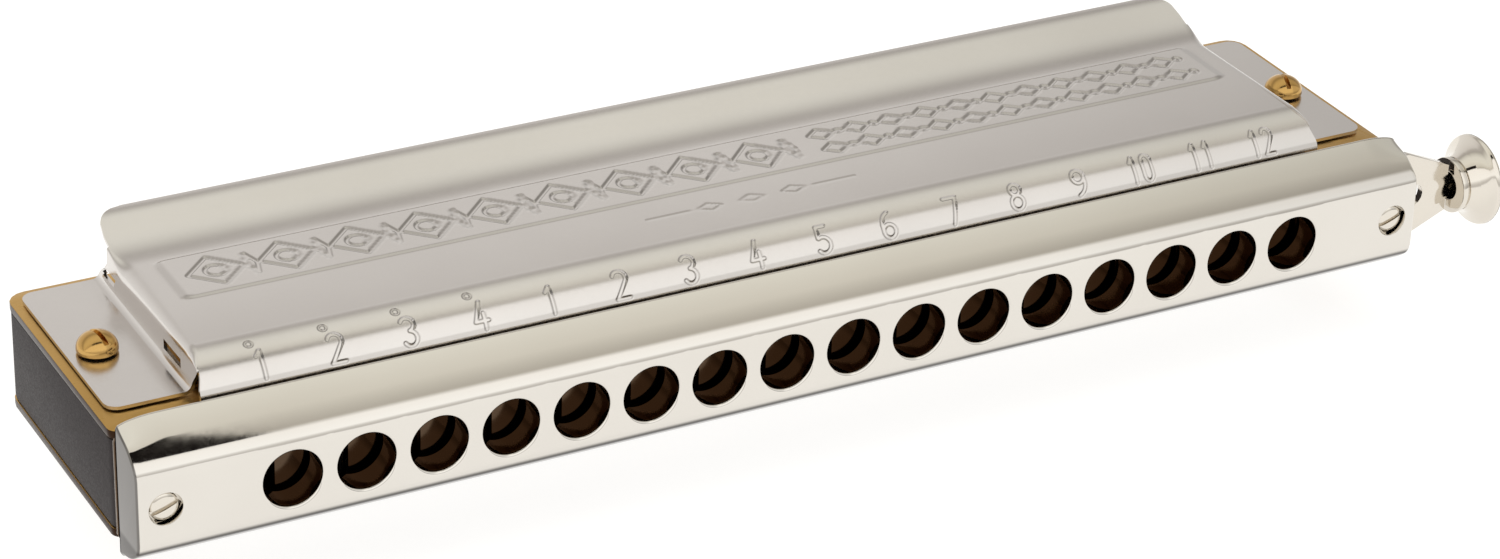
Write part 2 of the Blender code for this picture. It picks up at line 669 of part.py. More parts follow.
def build_spring():
    """A torsion spring: one leg against the comb's pocket, two turns, and a hook in the slide."""
    centre = (80.4 * MM, 10.4 * MM)
    radius = 1.25 * MM
    steps = 12
    turns = 2
    rise = 1.5 * MM
    curve = bpy.data.curves.new("slide_spring", "CURVE")
    curve.dimensions = "3D"
    curve.bevel_depth = 0.3 * MM
    curve.bevel_resolution = 2
    curve.use_fill_caps = True
    points = [(77.3 * MM, 11.0 * MM, -rise / 2)]
    start = 90
    for step in range(turns * steps + 1):
        angle = math.radians(start - 360 * step / steps)
        z = -rise / 2 + rise * step / (turns * steps)
        points.append((centre[0] + radius * math.cos(angle), centre[1] + radius * math.sin(angle), z))
    points.append((82.2 * MM, 8.8 * MM, 0.25 * MM))
    points.append((82.9 * MM, 7.6 * MM, 0.0))
    points.append((82.9 * MM, 5.2 * MM, 0.0))
    spline = curve.splines.new("POLY")
    spline.points.add(len(points) - 1)
    for point, place in zip(spline.points, points):
        point.co = (*place, 1.0)
    spring = bpy.data.objects.new("slide_spring", curve)
    attach(spring, STEEL)
    return spring


def build_bumper():
    """A rubber sleeve on the right mouthpiece screw, where the slide's long eye runs."""
    inner = 1.15 * MM
    outer = 1.42 * MM
    front = SLIDE_FRONT - 0.05 * MM
    back = BACKPLATE_FRONT - GAP
    profile = [(outer, back), (outer, front), (inner, front), (inner, back), (outer, back)]
    place = (MOUTH_SCREW_X, 0.0, 0.0)
    bumper = turned("slide_bumper", profile, place, "+Y", sides=16)
    attach(bumper, RUBBER)
    return bumper


# ---- fasteners ----------------------------------------------------------------------------------

def build_mouth_screw(side, name):
    """A fillister screw that holds mouthpiece, cage and backplate to the comb."""
    head_back = 1.6 * MM
    profile = [(0.0, 12.2 * MM), (0.7 * MM, 12.2 * MM), (0.9 * MM, 11.9 * MM)]
    profile += [(0.9 * MM, head_back), (1.85 * MM, head_back), (1.85 * MM, 0.6 * MM)]
    profile += [(1.6 * MM, 0.4 * MM), (0.0, 0.3 * MM)]
    screw = turned(name, profile, (side * MOUTH_SCREW_X, 0.0, 0.0), "+Y", sides=16)
    attach(screw, NICKEL)
    low = (-2.2 * MM, -0.5 * MM, -0.3 * MM)
    slot = boxes(name + "_slot", [(low, (2.2 * MM, 0.95 * MM, 0.3 * MM))])
    turn = Matrix.Rotation(math.radians(-8), 4, "Y")
    slot.matrix_basis = Matrix.Translation((side * MOUTH_SCREW_X, 0.0, 0.0)) @ turn
    boolean(screw, slot)
    return screw


def build_insert(side, name):
    """A brass bush in the comb, which takes the mouthpiece screw."""
    inner = 1.15 * MM
    outer = 2.0 * MM
    front = BODY_FRONT + 0.05 * MM
    back = 13.4 * MM
    profile = [(outer, back), (outer, front), (inner, front), (inner, back), (outer, back)]
    insert = turned(name, profile, (side * MOUTH_SCREW_X, 0.0, 0.0), "+Y", sides=16)
    attach(insert, BRASS)
    return insert


def dome_profile(base, radius, height, steps=5):
    """Points of a domed head above `base`, from its top down to its rim."""
    points = [(0.0, base + height)]
    for step in range(1, steps + 1):
        angle = math.pi / 2 * step / steps
        points.append((radius * math.sin(angle), base + 0.7 * MM + (height - 0.7 * MM) * math.cos(angle)))
    points.append((radius, base))
    return points


def build_cover_bolt(side, name):
    """A domed brass bolt, through both covers, both reed plates and the comb."""
    seat = FLANGE_TOP + GAP
    shank = 1.2 * MM
    profile = dome_profile(seat, 2.6 * MM, 2.1 * MM)
    profile += [(shank, seat), (shank, -9.3 * MM), (0.9 * MM, -9.6 * MM), (0.0, -9.6 * MM)]
    bolt = turned(name, profile, (side * COVER_BOLT_X, COVER_BOLT_Y, 0.0), "+Z", sides=16)
    attach(bolt, BRASS)
    cut_head_slot(bolt, side, seat + 1.15 * MM, 1)
    return bolt


def cut_head_slot(piece, side, floor, level):
    low = (-0.45 * MM, -3 * MM, min(level * floor, level * 13 * MM))
    high = (0.45 * MM, 3 * MM, max(level * floor, level * 13 * MM))
    slot = boxes(piece.name + "_slot", [(low, high)])
    turn = Matrix.Rotation(math.radians(side * -14), 4, "Z")
    slot.matrix_basis = Matrix.Translation((side * COVER_BOLT_X, COVER_BOLT_Y, 0.0)) @ turn
    boolean(piece, slot)


def build_cover_nut(side, name):
    """The domed, blind-bored nut that the bolt screws into under the lower cover."""
    seat = FLANGE_TOP + GAP
    bore = 1.45 * MM
    profile = dome_profile(seat, 2.6 * MM, 2.1 * MM)
    profile += [(bore, seat), (bore, 9.9 * MM), (0.0, 9.9 * MM)]
    place = (side * COVER_BOLT_X, COVER_BOLT_Y, 0.0)
    nut = turned(name, profile, place, "-Z", sides=16)
    attach(nut, BRASS)
    return nut


def build_plate_screw(side, y, level, name):
    """A small pan-head screw that holds a reed plate to the comb."""
    seat = PLATE_TOP + GAP
    profile = [(0.0, seat + 0.9 * MM), (1.1 * MM, seat + 0.8 * MM), (1.5 * MM, seat + 0.4 * MM)]
    profile += [(1.5 * MM, seat), (0.8 * MM, seat), (0.8 * MM, 3.2 * MM), (0.0, 2.6 * MM)]
    axis = "+Z" if level > 0 else "-Z"
    screw = turned(name, profile, (side * PLATE_SCREW_X, y, 0.0), axis, sides=10)
    attach(screw, BRASS)
    return screw


def build_fasteners():
    for side, end in ((-1, "left"), (1, "right")):
        build_mouth_screw(side, "mouthpiece_screw_" + end)
        build_insert(side, "mouthpiece_insert_" + end)
        build_cover_bolt(side, "cover_bolt_" + end)
        build_cover_nut(side, "cover_nut_" + end)
        for y, row in zip(PLATE_SCREW_YS, ("front", "rear")):
            for level in (1, -1):
                name = f"{level_name(level)}_plate_screw_{end}_{row}"
                build_plate_screw(side, y, level, name)


def build_harmonica():
    build_comb()
    for level in (1, -1):
        build_reed_plate(level)
        build_cover(level)
        for index in range(HOLE_COUNT):
            build_reed(index, level)
    build_mouthpiece()
    build_slide_cage()
    build_slide()
    build_backplate()
    build_button()
    build_spring()
    build_bumper()
    build_fasteners()


build_harmonica()
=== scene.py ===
"""Looks of a sixteen-hole chromatic harmonica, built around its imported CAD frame.

Meshes are drawn in millimetres in the design frame: X runs towards the slide button, Y back from
the face of the mouthpiece, and Z up from the middle of the comb.  ORIGIN, in metres, carries that
frame into the CAD's, and every piece rides on a CAD body.
"""

import math

import bmesh
import bpy
import numpy as np
from mathutils import Matrix, Vector


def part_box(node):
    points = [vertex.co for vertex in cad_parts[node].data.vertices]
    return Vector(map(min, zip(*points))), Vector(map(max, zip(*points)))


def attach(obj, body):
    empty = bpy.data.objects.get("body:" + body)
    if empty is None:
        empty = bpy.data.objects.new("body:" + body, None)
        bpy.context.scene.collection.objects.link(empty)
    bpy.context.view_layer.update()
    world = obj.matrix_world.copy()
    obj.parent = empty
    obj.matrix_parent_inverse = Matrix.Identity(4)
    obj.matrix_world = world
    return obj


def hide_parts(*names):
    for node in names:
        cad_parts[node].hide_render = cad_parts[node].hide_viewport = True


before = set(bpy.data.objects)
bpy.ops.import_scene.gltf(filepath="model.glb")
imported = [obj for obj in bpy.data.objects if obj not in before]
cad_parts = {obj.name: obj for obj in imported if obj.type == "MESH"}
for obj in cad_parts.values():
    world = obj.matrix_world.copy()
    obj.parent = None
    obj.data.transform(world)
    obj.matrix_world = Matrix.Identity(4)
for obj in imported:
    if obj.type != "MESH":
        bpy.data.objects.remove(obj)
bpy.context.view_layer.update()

MM = 0.001
INSTRUMENT = "instrument"
SLIDER = "slide_assembly"

MOUTH_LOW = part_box("mouthpiece")[0]
COMB_LOW, COMB_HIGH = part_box("comb")
ORIGIN = Vector((
    (COMB_LOW.x + COMB_HIGH.x) / 2, MOUTH_LOW.y, (COMB_LOW.z + COMB_HIGH.z) / 2,
))


def design_box(node):
    """Lowest and highest corner of a CAD node, in millimetres of the design frame."""
    low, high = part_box(node)
    return (low - ORIGIN) / MM, (high - ORIGIN) / MM


# ---- sizes, in millimetres of the design frame --------------------------------------------------

MOUTH_BOX = design_box("mouthpiece")
COVER_BOX = design_box("upper_cover")
PLATE_BOX = design_box("upper_reed_plate")
BUTTON_BOX = design_box("slide_button")
BOLT_BOX = design_box("cover_bolt_right")
MOUTH_SCREW_BOX = design_box("mouthpiece_screw_right")

HOLE_COUNT = 16
PITCH = 9.5
HOLE_XS = [(index - (HOLE_COUNT - 1) / 2) * PITCH for index in range(HOLE_COUNT)]
HOLE_RADIUS = 3.75
HOLE_FLARE = 0.45

MOUTH_END = MOUTH_BOX[1].x
MOUTH_BACK = MOUTH_BOX[1].y
MOUTH_FLAT = 4.2
MOUTH_SHOULDER = 2.6
SHOULDER_TURN = 50
MOUTH_CROWN = 27.2
CROWN_TURN = 63
MOUTH_WALL = 4.0
CHANNEL_HALF_HEIGHT = 7.2
CHANNEL_LEFT = 1.05 - MOUTH_END
MOUTH_SCREW_X = (MOUTH_SCREW_BOX[0].x + MOUTH_SCREW_BOX[1].x) / 2

PLATE_TOP = PLATE_BOX[1].z
GAP = 0.25                  # kept between pieces that touch
SHEET = 0.45
FLANGE_TOP = PLATE_TOP + GAP + SHEET
FLANGE_END = COVER_BOX[1].x
FLANGE_FRONT = 11.65
FLANGE_BACK = 42.7
WALL_X = 79.3
COVER_TOP = 13.1
COVER_FRONT = 7.75
BOLT_X = (BOLT_BOX[0].x + BOLT_BOX[1].x) / 2
BOLT_Y = (BOLT_BOX[0].y + BOLT_BOX[1].y) / 2


# ---- mesh helpers -------------------------------------------------------------------------------

class Skin:
    """Points in millimetres and the faces between them, gathered patch by patch."""

    def __init__(self):
        self.points = []
        self.faces = []
        # painted shade along the steep edges of stamped relief: how dark each point is painted
        self.painted_edge_shade = {}

    def add(self, points):
        start = len(self.points)
        self.points.extend(map(tuple, points))
        return start

    def grid(self, rows, closed=False, keep=None, painted_edge_shade=None):
        """Quads between rows of points; `closed` joins each row's end to its start."""
        rows = np.asarray(rows, float)
        count, width = rows.shape[:2]
        start = self.add(rows.reshape(-1, 3))
        if painted_edge_shade is not None:
            self.painted_edge_shade.update(enumerate(painted_edge_shade.ravel().tolist(), start))
        for row in range(count - 1):
            for column in range(width if closed else width - 1):
                if keep is not None and not keep[row][column]:
                    continue
                a = start + row * width + column
                b = start + row * width + (column + 1) % width
                self.faces.append((a, b, b + width, a + width))

    def polygon(self, points):
        start = self.add(points)
        self.faces.append(tuple(range(start, start + len(points))))


def make_piece(name, skin, material, body=INSTRUMENT, replaces=(), crease=32, weld=0.002):
    """A mesh object in the design frame, welded and shaded, riding on a body."""
    bm = bmesh.new()
    layer = bm.verts.layers.float.new("painted_edge_shade") if skin.painted_edge_shade else None
    vertices = [bm.verts.new((x * MM, y * MM, z * MM)) for x, y, z in skin.points]
    for index, value in skin.painted_edge_shade.items():
        vertices[index][layer] = value
    for face in skin.faces:
        bm.faces.new([vertices[index] for index in face])
    bmesh.ops.remove_doubles(bm, verts=bm.verts[:], dist=weld * MM)
    bmesh.ops.dissolve_degenerate(bm, edges=bm.edges[:], dist=1e-7)
    bmesh.ops.recalc_face_normals(bm, faces=bm.faces[:])
    mesh = bpy.data.meshes.new(name)
    bm.to_mesh(mesh)
    bm.free()
    piece = bpy.data.objects.new(name, mesh)
    bpy.context.scene.collection.objects.link(piece)
    piece.location = ORIGIN
    mesh.materials.append(material)
    shade(piece, crease)
    settle(piece, body, replaces)
    return piece


def settle(piece, body, replaces=()):
    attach(piece, body)
    if replaces:
        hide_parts(*replaces)


def shade(piece, crease):
    piece.data.shade_smooth()
    piece.data.set_sharp_from_angle(angle=math.radians(crease))


def apply_modifiers(piece):
    """The evaluated mesh takes the place of the mesh and its modifiers."""
    bpy.context.view_layer.update()
    evaluated = piece.evaluated_get(bpy.context.evaluated_depsgraph_get())
    mesh = bpy.data.meshes.new_from_object(evaluated)
    piece.modifiers.clear()
    piece.data = mesh


def arc(centre, radius, start, end, steps):
    """Points of an arc in a plane, with its angles in degrees."""
    angles = np.radians(np.linspace(start, end, steps + 1))
    return [(centre[0] + radius * math.cos(a), centre[1] + radius * math.sin(a)) for a in angles]


def smoothstep(low, high, value):
    share = np.clip((np.asarray(value, float) - low) / (high - low), 0, 1)
    return share * share * (3 - 2 * share)


# ---- materials ----------------------------------------------------------------------------------

class Nodes:
    """Short calls for building one material's node tree."""

    def __init__(self, name):
        self.material = bpy.data.materials.new(name)
        self.material.use_nodes = True
        self.tree = self.material.node_tree
        self.shader = self.tree.nodes["Principled BSDF"]

    def set(self, **values):
        for name, value in values.items():
            self.shader.inputs[name.replace("_", " ")].default_value = value

    def node(self, kind, links=None, inputs=None, **settings):
        node = self.tree.nodes.new(kind)
        for name, value in settings.items():
            setattr(node, name, value)
        for name, value in (inputs or {}).items():
            node.inputs[name].default_value = value
        for name, socket in (links or {}).items():
            self.tree.links.new(socket, node.inputs[name])
        return node

    def noise(self, scale, stretch=(1, 1, 1), detail=3.0, roughness=0.5):
        """Noise over the object's own coordinates; `scale` is in cells for each metre."""
        where = self.node("ShaderNodeTexCoord").outputs["Object"]
        mapping = self.node("ShaderNodeMapping", {"Vector": where}, {"Scale": stretch})
        return self.node(
            "ShaderNodeTexNoise", {"Vector": mapping.outputs["Vector"]},
            {"Scale": scale, "Detail": detail, "Roughness": roughness},
        ).outputs["Fac"]

    def ranged(self, socket, low, high, start=0.3, end=0.7):
        return self.node(
            "ShaderNodeMapRange", {"Value": socket},
            {"From Min": start, "From Max": end, "To Min": low, "To Max": high},
        ).outputs["Result"]

    def ramp(self, socket, stops):
        node = self.node("ShaderNodeValToRGB", {"Fac": socket})
        ramp = node.color_ramp
        while len(ramp.elements) < len(stops):
            ramp.elements.new(0.5)
        for element, (place, colour) in zip(ramp.elements, stops):
            element.position = place
            element.color = (*colour, 1.0)
        return node.outputs["Color"]

    def axis(self, name, absolute=False, output="Object"):
        """One coordinate of the object's own space, in metres (or of its normal, without units)."""
        where = self.node("ShaderNodeTexCoord").outputs[output]
        value = self.node("ShaderNodeSeparateXYZ", {"Vector": where}).outputs[name]
        if absolute:
            value = self.node("ShaderNodeMath", {0: value}, operation="ABSOLUTE").outputs[0]
        return value

    def step(self, socket, start, end):
        """0 before `start` and 1 after `end`."""
        return self.node(
            "ShaderNodeMapRange", {"Value": socket},
            {"From Min": start, "From Max": end, "To Min": 0.0, "To Max": 1.0},
            interpolation_type="SMOOTHSTEP",
        ).outputs["Result"]

    def times(self, *sockets):
        result = sockets[0]
        for socket in sockets[1:]:
            result = self.node("ShaderNodeMath", {0: result, 1: socket}, operation="MULTIPLY").outputs[0]
        return result

    def mixed(self, share, base, tint):
        mix = self.node("ShaderNodeMix", data_type="RGBA")
        self.tree.links.new(share, mix.inputs["Factor"])
        self.tree.links.new(base, mix.inputs["A"])
        mix.inputs["B"].default_value = (*tint, 1.0)
        return mix.outputs["Result"]

    def bump(self, socket, distance, strength=1.0, below=None):
        links = {"Height": socket}
        if below is not None:
            links["Normal"] = below
        return self.node(
            "ShaderNodeBump", links, {"Distance": distance, "Strength": strength},
        ).outputs["Normal"]

    def join(self, socket, name):
        self.tree.links.new(socket, self.shader.inputs[name])


def metal(name, dark, light, roughness, grain, stretch, depth, painted_shade_tints=()):
    """Metal with slight colour and gloss variation, and grain as fine height over the surface; each tint it
    is given is painted shade or a painted dark reflection over the masked part.
    """
    n = Nodes(name)
    n.set(Metallic=1.0)
    colour = n.ramp(n.noise(45, detail=4), [(0.3, dark), (0.7, light)])
    for where, tint in painted_shade_tints:
        colour = n.mixed(where(n), colour, tint)
    n.join(colour, "Base Color")
    gloss = n.noise(grain, stretch, detail=5, roughness=0.6)
    n.join(n.ranged(gloss, *roughness), "Roughness")
    n.join(n.bump(gloss, depth), "Normal")
    return n.material


def comb_plastic():
    n = Nodes("comb_black_plastic")
    n.shader.inputs["Specular IOR Level"].default_value = 0.3
    tints = [(0.25, (0.016, 0.0115, 0.012)), (0.75, (0.024, 0.018, 0.0185))]
    n.join(n.ramp(n.noise(900, detail=6), tints), "Base Color")
    fine = n.noise(5200, detail=4)
    n.join(n.ranged(fine, 0.5, 0.7), "Roughness")
    n.join(n.bump(fine, 0.00002), "Normal")
    return n.material


def rubber():
    n = Nodes("bumper_rubber")
    tints = [(0.3, (0.018, 0.017, 0.016)), (0.7, (0.03, 0.028, 0.027))]
    n.join(n.ramp(n.noise(2500), tints), "Base Color")
    fine = n.noise(9000)
    n.join(n.ranged(fine, 0.7, 0.9), "Roughness")
    n.join(n.bump(fine, 0.00002), "Normal")
    return n.material


def valve_film():
    n = Nodes("valve_film")
    n.join(n.ramp(n.noise(300), [(0.3, (0.62, 0.58, 0.50)), (0.7, (0.72, 0.69, 0.62))]), "Base Color")
    fine = n.noise(3500, (1, 0.1, 1))
    n.join(n.ranged(fine, 0.3, 0.5), "Roughness")
    n.join(n.bump(fine, 0.00001), "Normal")
    return n.material


def stamped_edges(n):
    """Steep edges of the stamped relief: painted shade, tinted darker to stand in for the dark reflections
    along them, so that the relief reads.
    """
    return n.node("ShaderNodeAttribute", attribute_name="painted_edge_shade").outputs["Fac"]


def hole_wall_shade(n):
    """Inside the mouth holes and the channel behind them: painted shade, a dark brown tint that stands in
    for the shade deep in the holes.
    """
    deep = n.step(n.axis("Y"), 0.42 * MM, 0.8 * MM)
    high = n.step(n.axis("Z", True), 4.3 * MM, 4.2 * MM)
    inside = n.step(n.axis("X", True), 84 * MM, 80 * MM)
    return n.times(deep, high, inside)


def underside(n):
    """The lower shoulder and slope.  The dark tint imitates a dark reflection; plating has no such tint."""
    return n.step(n.axis("Z"), -4.9 * MM, -5.7 * MM)


def left_end(n):
    """The left end face.  The dark tint imitates a dark reflection; plating has no such tint."""
    return n.step(n.axis("X"), -90.66 * MM, -90.78 * MM)


def slide_inside_shade(n):
    """The part of the slide that stays in its channel: painted shade, a dark brown tint that stands in for
    the shade inside the channel.
    """
    return n.step(n.axis("X"), 83.4 * MM, 82.4 * MM)


def upright_edge(n):
    """Cut edges of a plate.  The dark tint imitates a dark reflection; brass has no such tint."""
    return n.step(n.axis("Z", True, "Normal"), 0.75, 0.55)


NICKEL = metal(
    "polished_nickel", (0.70, 0.655, 0.585), (0.735, 0.69, 0.62), (0.05, 0.10),
    700, (1, 1, 1), 0.0000006,
)
# Its tints are painted shade and painted dark reflections: inside the holes, on the left end face and on
# the lower shoulder.
MOUTH_NICKEL = metal(
    "mouthpiece_nickel", (0.70, 0.668, 0.62), (0.725, 0.695, 0.645), (0.03, 0.06),
    700, (1, 1, 1), 0.0000006,
    ((hole_wall_shade, (0.25, 0.17, 0.11)), (left_end, (0.19, 0.18, 0.17)), (underside, (0.06, 0.052, 0.046))),
)
# The part inside the channel is painted dark brown: painted shade.
SLIDE_NICKEL = metal(
    "slide_nickel", (0.70, 0.655, 0.585), (0.735, 0.69, 0.62), (0.09, 0.16),
    900, (1, 1, 1), 0.0000008, ((slide_inside_shade, (0.085, 0.055, 0.035)),),
)
# Painted shade: a dark brown nickel for the cage and backplate, standing in for the shade behind the mouth
# holes; their plating is not this dark.
DARK_NICKEL = metal(
    "nickel_painted_shade", (0.085, 0.055, 0.034), (0.14, 0.09, 0.055), (0.14, 0.26),
    1200, (1, 1, 1), 0.000001,
)
# The steep edges of its stamped relief are painted darker: painted shade.
STEEL = metal(
    "stainless_sheet", (0.665, 0.635, 0.605), (0.70, 0.67, 0.64), (0.17, 0.23),
    2600, (0.6, 1, 1), 0.0000004, ((stamped_edges, (0.30, 0.28, 0.26)),),
)
BRASS_PLATE = metal(
    "reed_plate_brass", (0.52, 0.31, 0.085), (0.64, 0.40, 0.13), (0.26, 0.38),
    3500, (0.08, 1, 1), 0.000003, ((upright_edge, (0.035, 0.018, 0.010)),),
)
BRASS_BRIGHT = metal(
    "turned_brass", (0.50, 0.30, 0.095), (0.62, 0.39, 0.135), (0.12, 0.18),
    2500, (1, 1, 3), 0.000001,
)
REED_BRASS = metal(
    "reed_brass", (0.66, 0.43, 0.15), (0.78, 0.53, 0.2), (0.2, 0.34),
    4200, (3, 0.1, 1), 0.000002,
)
SPRING_STEEL = metal(
    "spring_steel", (0.42, 0.41, 0.40), (0.55, 0.54, 0.53), (0.18, 0.3),
    5000, (1, 1, 1), 0.000001,
)
PLASTIC = comb_plastic()
RUBBER = rubber()
VALVE = valve_film()


# ---- mouthpiece ---------------------------------------------------------------------------------

CELL_TOP = 5.0              # half the height of the front patch around each hole
CELL_STEPS = 16
END_ROUNDING = 0.35
REAR_ROUNDING = 0.3
CROWN_ROUNDING = 5.5
CROWN_FALL = 1.15


def front_depth(z):
    """How far the front surface has curved back at height z, near the holes."""
    over = np.clip((np.abs(z) - MOUTH_FLAT) / MOUTH_SHOULDER, 0, 1)
    return MOUTH_SHOULDER * (1 - np.sqrt(1 - over * over))


def mouth_slope():
    """(y, z) points from the top of the hole cells, over the slope and its rear edge, to the channel."""
    first = math.degrees(math.asin((CELL_TOP - MOUTH_FLAT) / MOUTH_SHOULDER))
    path = arc((MOUTH_SHOULDER, MOUTH_FLAT), MOUTH_SHOULDER, 180 - first, 180 - SHOULDER_TURN, 10)
    y, z = path[-1]
    turn = math.radians(SHOULDER_TURN)
    centre = (y + MOUTH_CROWN * math.cos(turn), z - MOUTH_CROWN * math.sin(turn))
    path += arc(centre, MOUTH_CROWN, 180 - SHOULDER_TURN, 180 - CROWN_TURN, 12)[1:]
    y, z = path[-1]
    lean = math.radians(CROWN_TURN)
    edge = (MOUTH_BACK - REAR_ROUNDING, z + (MOUTH_BACK - REAR_ROUNDING - y) / math.tan(lean))
    centre = (edge[0], edge[1] - REAR_ROUNDING)
    path += arc(centre, REAR_ROUNDING, 180 - CROWN_TURN, 0, 5)
    path.append((MOUTH_BACK, CHANNEL_HALF_HEIGHT))
    return path


def crown_drop(x, z):
    """How far the crown has rounded down near the mouthpiece's ends."""
    share = np.clip((np.abs(x) - (MOUTH_END - CROWN_ROUNDING)) / CROWN_ROUNDING, 0, 1)
    fall = CROWN_FALL * (1 - np.sqrt(1 - 0.98 * share * share))
    return math.copysign(float(fall * smoothstep(CHANNEL_HALF_HEIGHT, 9.6, abs(z))), z)


def cell_outline(centre, half_width):
    """(x, z) points around the patch that holds a hole, with the same count on each side."""
    side = np.linspace(-1, 1, CELL_STEPS + 1)[:-1]
    ring = [(centre + half_width * t, -CELL_TOP) for t in side]
    ring += [(centre + half_width, CELL_TOP * t) for t in side]
    ring += [(centre - half_width * t, CELL_TOP) for t in side]
    ring += [(centre - half_width, -CELL_TOP * t) for t in side]
    return np.array(ring)


def hole_cell(skin, centre, half_width, rings):
    """The front patch, the hole through the wall, and the patch behind it."""
    outline = cell_outline(centre, half_width)
    ways = outline - (centre, 0.0)
    ways /= np.linalg.norm(ways, axis=1)[:, None]
    mouth = ways * rings[0][0] + (centre, 0.0)
    rows = []
    for share in np.linspace(0, 1, 7)[:-1]:
        flat = outline + (mouth - outline) * share
        rows.append([(x, front_depth(z), z) for x, z in flat])
    for radius, depth in rings:
        flat = ways * radius + (centre, 0.0)
        fade = max(0.0, 1 - depth / HOLE_FLARE)
        rows.append([(x, depth + fade * front_depth(z), z) for x, z in flat])
    rows.append([(x, MOUTH_WALL, z) for x, z in outline])
    skin.grid(rows, closed=True)


def rim_rings(radius, flare, rest):
    """(radius, depth) pairs over a rounded rim, then down the rest of a hole."""
    rim = [(radius + flare - flare * math.sin(a), flare - flare * math.cos(a))
           for a in np.radians(np.linspace(0, 90, 8))]
    return rim + rest


def build_mouthpiece():
    skin = Skin()
    half = PITCH / 2
    mouth_rings = rim_rings(HOLE_RADIUS, HOLE_FLARE, [(HOLE_RADIUS, 2.0), (HOLE_RADIUS, MOUTH_WALL)])
    counterbore, shank = 2.15, 1.2
    depth = 1.9
    screw_rings = rim_rings(counterbore, 0.12, [(counterbore, depth), (shank, depth), (shank, MOUTH_WALL)])
    screws = [(side * MOUTH_SCREW_X, 2.6, screw_rings) for side in (-1, 1)]
    cells = screws[:1] + [(x, half, mouth_rings) for x in HOLE_XS] + screws[1:]
    right = MOUTH_END - END_ROUNDING
    stations = [-right, CHANNEL_LEFT]
    spans = []
    for centre, width, rings in cells:
        hole_cell(skin, centre, width, rings)
        gap = np.linspace(stations[-1], centre - width, 9)
        if gap[-1] - gap[0] > 0.01:
            spans.append(gap)
            stations += list(gap[1:])
        stations += list(np.linspace(centre - width, centre + width, CELL_STEPS + 1)[1:])
    gap = np.linspace(stations[-1], right, 4)
    spans.append(gap)
    stations += list(gap[1:])
    zs = np.linspace(-CELL_TOP, CELL_TOP, CELL_STEPS + 1)
    front = [(front_depth(z), z) for z in zs]
    for span in spans:
        skin.grid([[(x, y, z) for y, z in front] for x in span])
        skin.grid([[(x, MOUTH_WALL, z) for z in zs] for x in span])
    slope = mouth_slope()
    inner = [(MOUTH_WALL, CHANNEL_HALF_HEIGHT), (MOUTH_WALL, CELL_TOP)]
    for side in (1, -1):
        path = [(y, side * z) for y, z in slope + inner]
        skin.grid([[(x, y, z) for y, z in path] for x in stations[1:]])
    close_left_end(skin, front, slope)
    close_right_end(skin, front, slope, inner, zs)
    skin.points = [(x, y, z - crown_drop(x, z)) for x, y, z in skin.points]
    return make_piece("mouthpiece_body", skin, MOUTH_NICKEL, replaces=["mouthpiece"])


def close_left_end(skin, front, slope):
    """The solid left end: its outline, its rounded edge, its face, and the channel's end wall."""
    lower = [(y, -z) for y, z in reversed(slope)]
    loop = np.array(front[:-1] + slope + lower[:-1])
    wall = np.array([(CHANNEL_LEFT, y, z) for y, z in loop])
    rows = [wall] + rounded_end(loop, inward_ways(loop), -1)
    skin.grid(rows, closed=True)
    skin.polygon(rows[-1])
    zs = [z for _, z in front]
    recess = [(MOUTH_BACK, CHANNEL_HALF_HEIGHT), (MOUTH_WALL, CHANNEL_HALF_HEIGHT)]
    recess += [(MOUTH_WALL, z) for z in reversed(zs)]
    recess += [(MOUTH_WALL, -CHANNEL_HALF_HEIGHT), (MOUTH_BACK, -CHANNEL_HALF_HEIGHT)]
    skin.polygon([(CHANNEL_LEFT, y, z) for y, z in recess])


def close_right_end(skin, front, slope, inner, zs):
    """The open right end, shaped like a U around the channel."""
    outer = [(y, -z) for y, z in reversed(slope)] + front[1:-1] + slope
    back = inner[:1] + [(MOUTH_WALL, z) for z in reversed(zs)] + [(MOUTH_WALL, -CHANNEL_HALF_HEIGHT)]
    ways = inward_ways(np.array(outer))
    ways[0] = ways[-1] = (-1.0, 0.0)
    ways = np.vstack([ways, np.zeros((len(back), 2))])
    rows = rounded_end(np.array(outer + back), ways, 1)
    skin.grid(rows, closed=True)
    skin.polygon(rows[-1])


def inward_ways(loop):
    """Unit vectors that point into a closed (y, z) loop, one for each of its points."""
    along = np.roll(loop, -1, axis=0) - np.roll(loop, 1, axis=0)
    along /= np.linalg.norm(along, axis=1)[:, None]
    ways = np.stack([along[:, 1], -along[:, 0]], axis=1)
    middle = np.array([MOUTH_BACK / 2, 0.0])
    if np.sum((middle - loop) * ways) < 0:
        ways = -ways
    return ways


def rounded_end(loop, ways, side):
    """Rows of points that carry a loop round the edge of an end face."""
    rows = []
    for angle in np.radians(np.linspace(0, 90, 6)):
        x = side * (MOUTH_END - END_ROUNDING + END_ROUNDING * math.sin(angle))
        flat = loop + ways * END_ROUNDING * (1 - math.cos(angle))
        rows.append([(x, y, z) for y, z in flat])
    return rows


# ---- covers -------------------------------------------------------------------------------------

WALL_LEAN = 30              # degrees that the visible front leans back, where its shoulder begins
COVER_SHOULDER = 6.4
COVER_SHOULDER_Y = 13.71
LIP_START = 34.7
LIP_TURN = 24
LIP_HOLLOW = 16.0
LIP_RISE = 2.05
LIP_ROLL = 6.2
LIP_END_X = 78.95
LIP_CORNER = 4.0
FOOT_FILLET = 0.9
FLANGE_ROUND = 1.8
DIGIT_HEIGHT = 3.6
DIGIT_BASE = 2.2           # up the front wall, from the cover's foot
BANNER = (24.2, 34.4)       # Y range of the raised panel
BANNER_HALF = 75.0
STRAIGHT_HALF = 74.0        # half the length over which the columns are even
NUMBER_HALF = 2.4           # half the width of the fine columns around a number
VENT_Z = (9.2, 10.5)
VENTS = ((14.9, 20.4), (36.6, 40.6))
WALL_ROW_START = 11.6       # height on the front shoulder at which the end wall begins
WALL_ROW_END = 39.2         # Y at which it ends


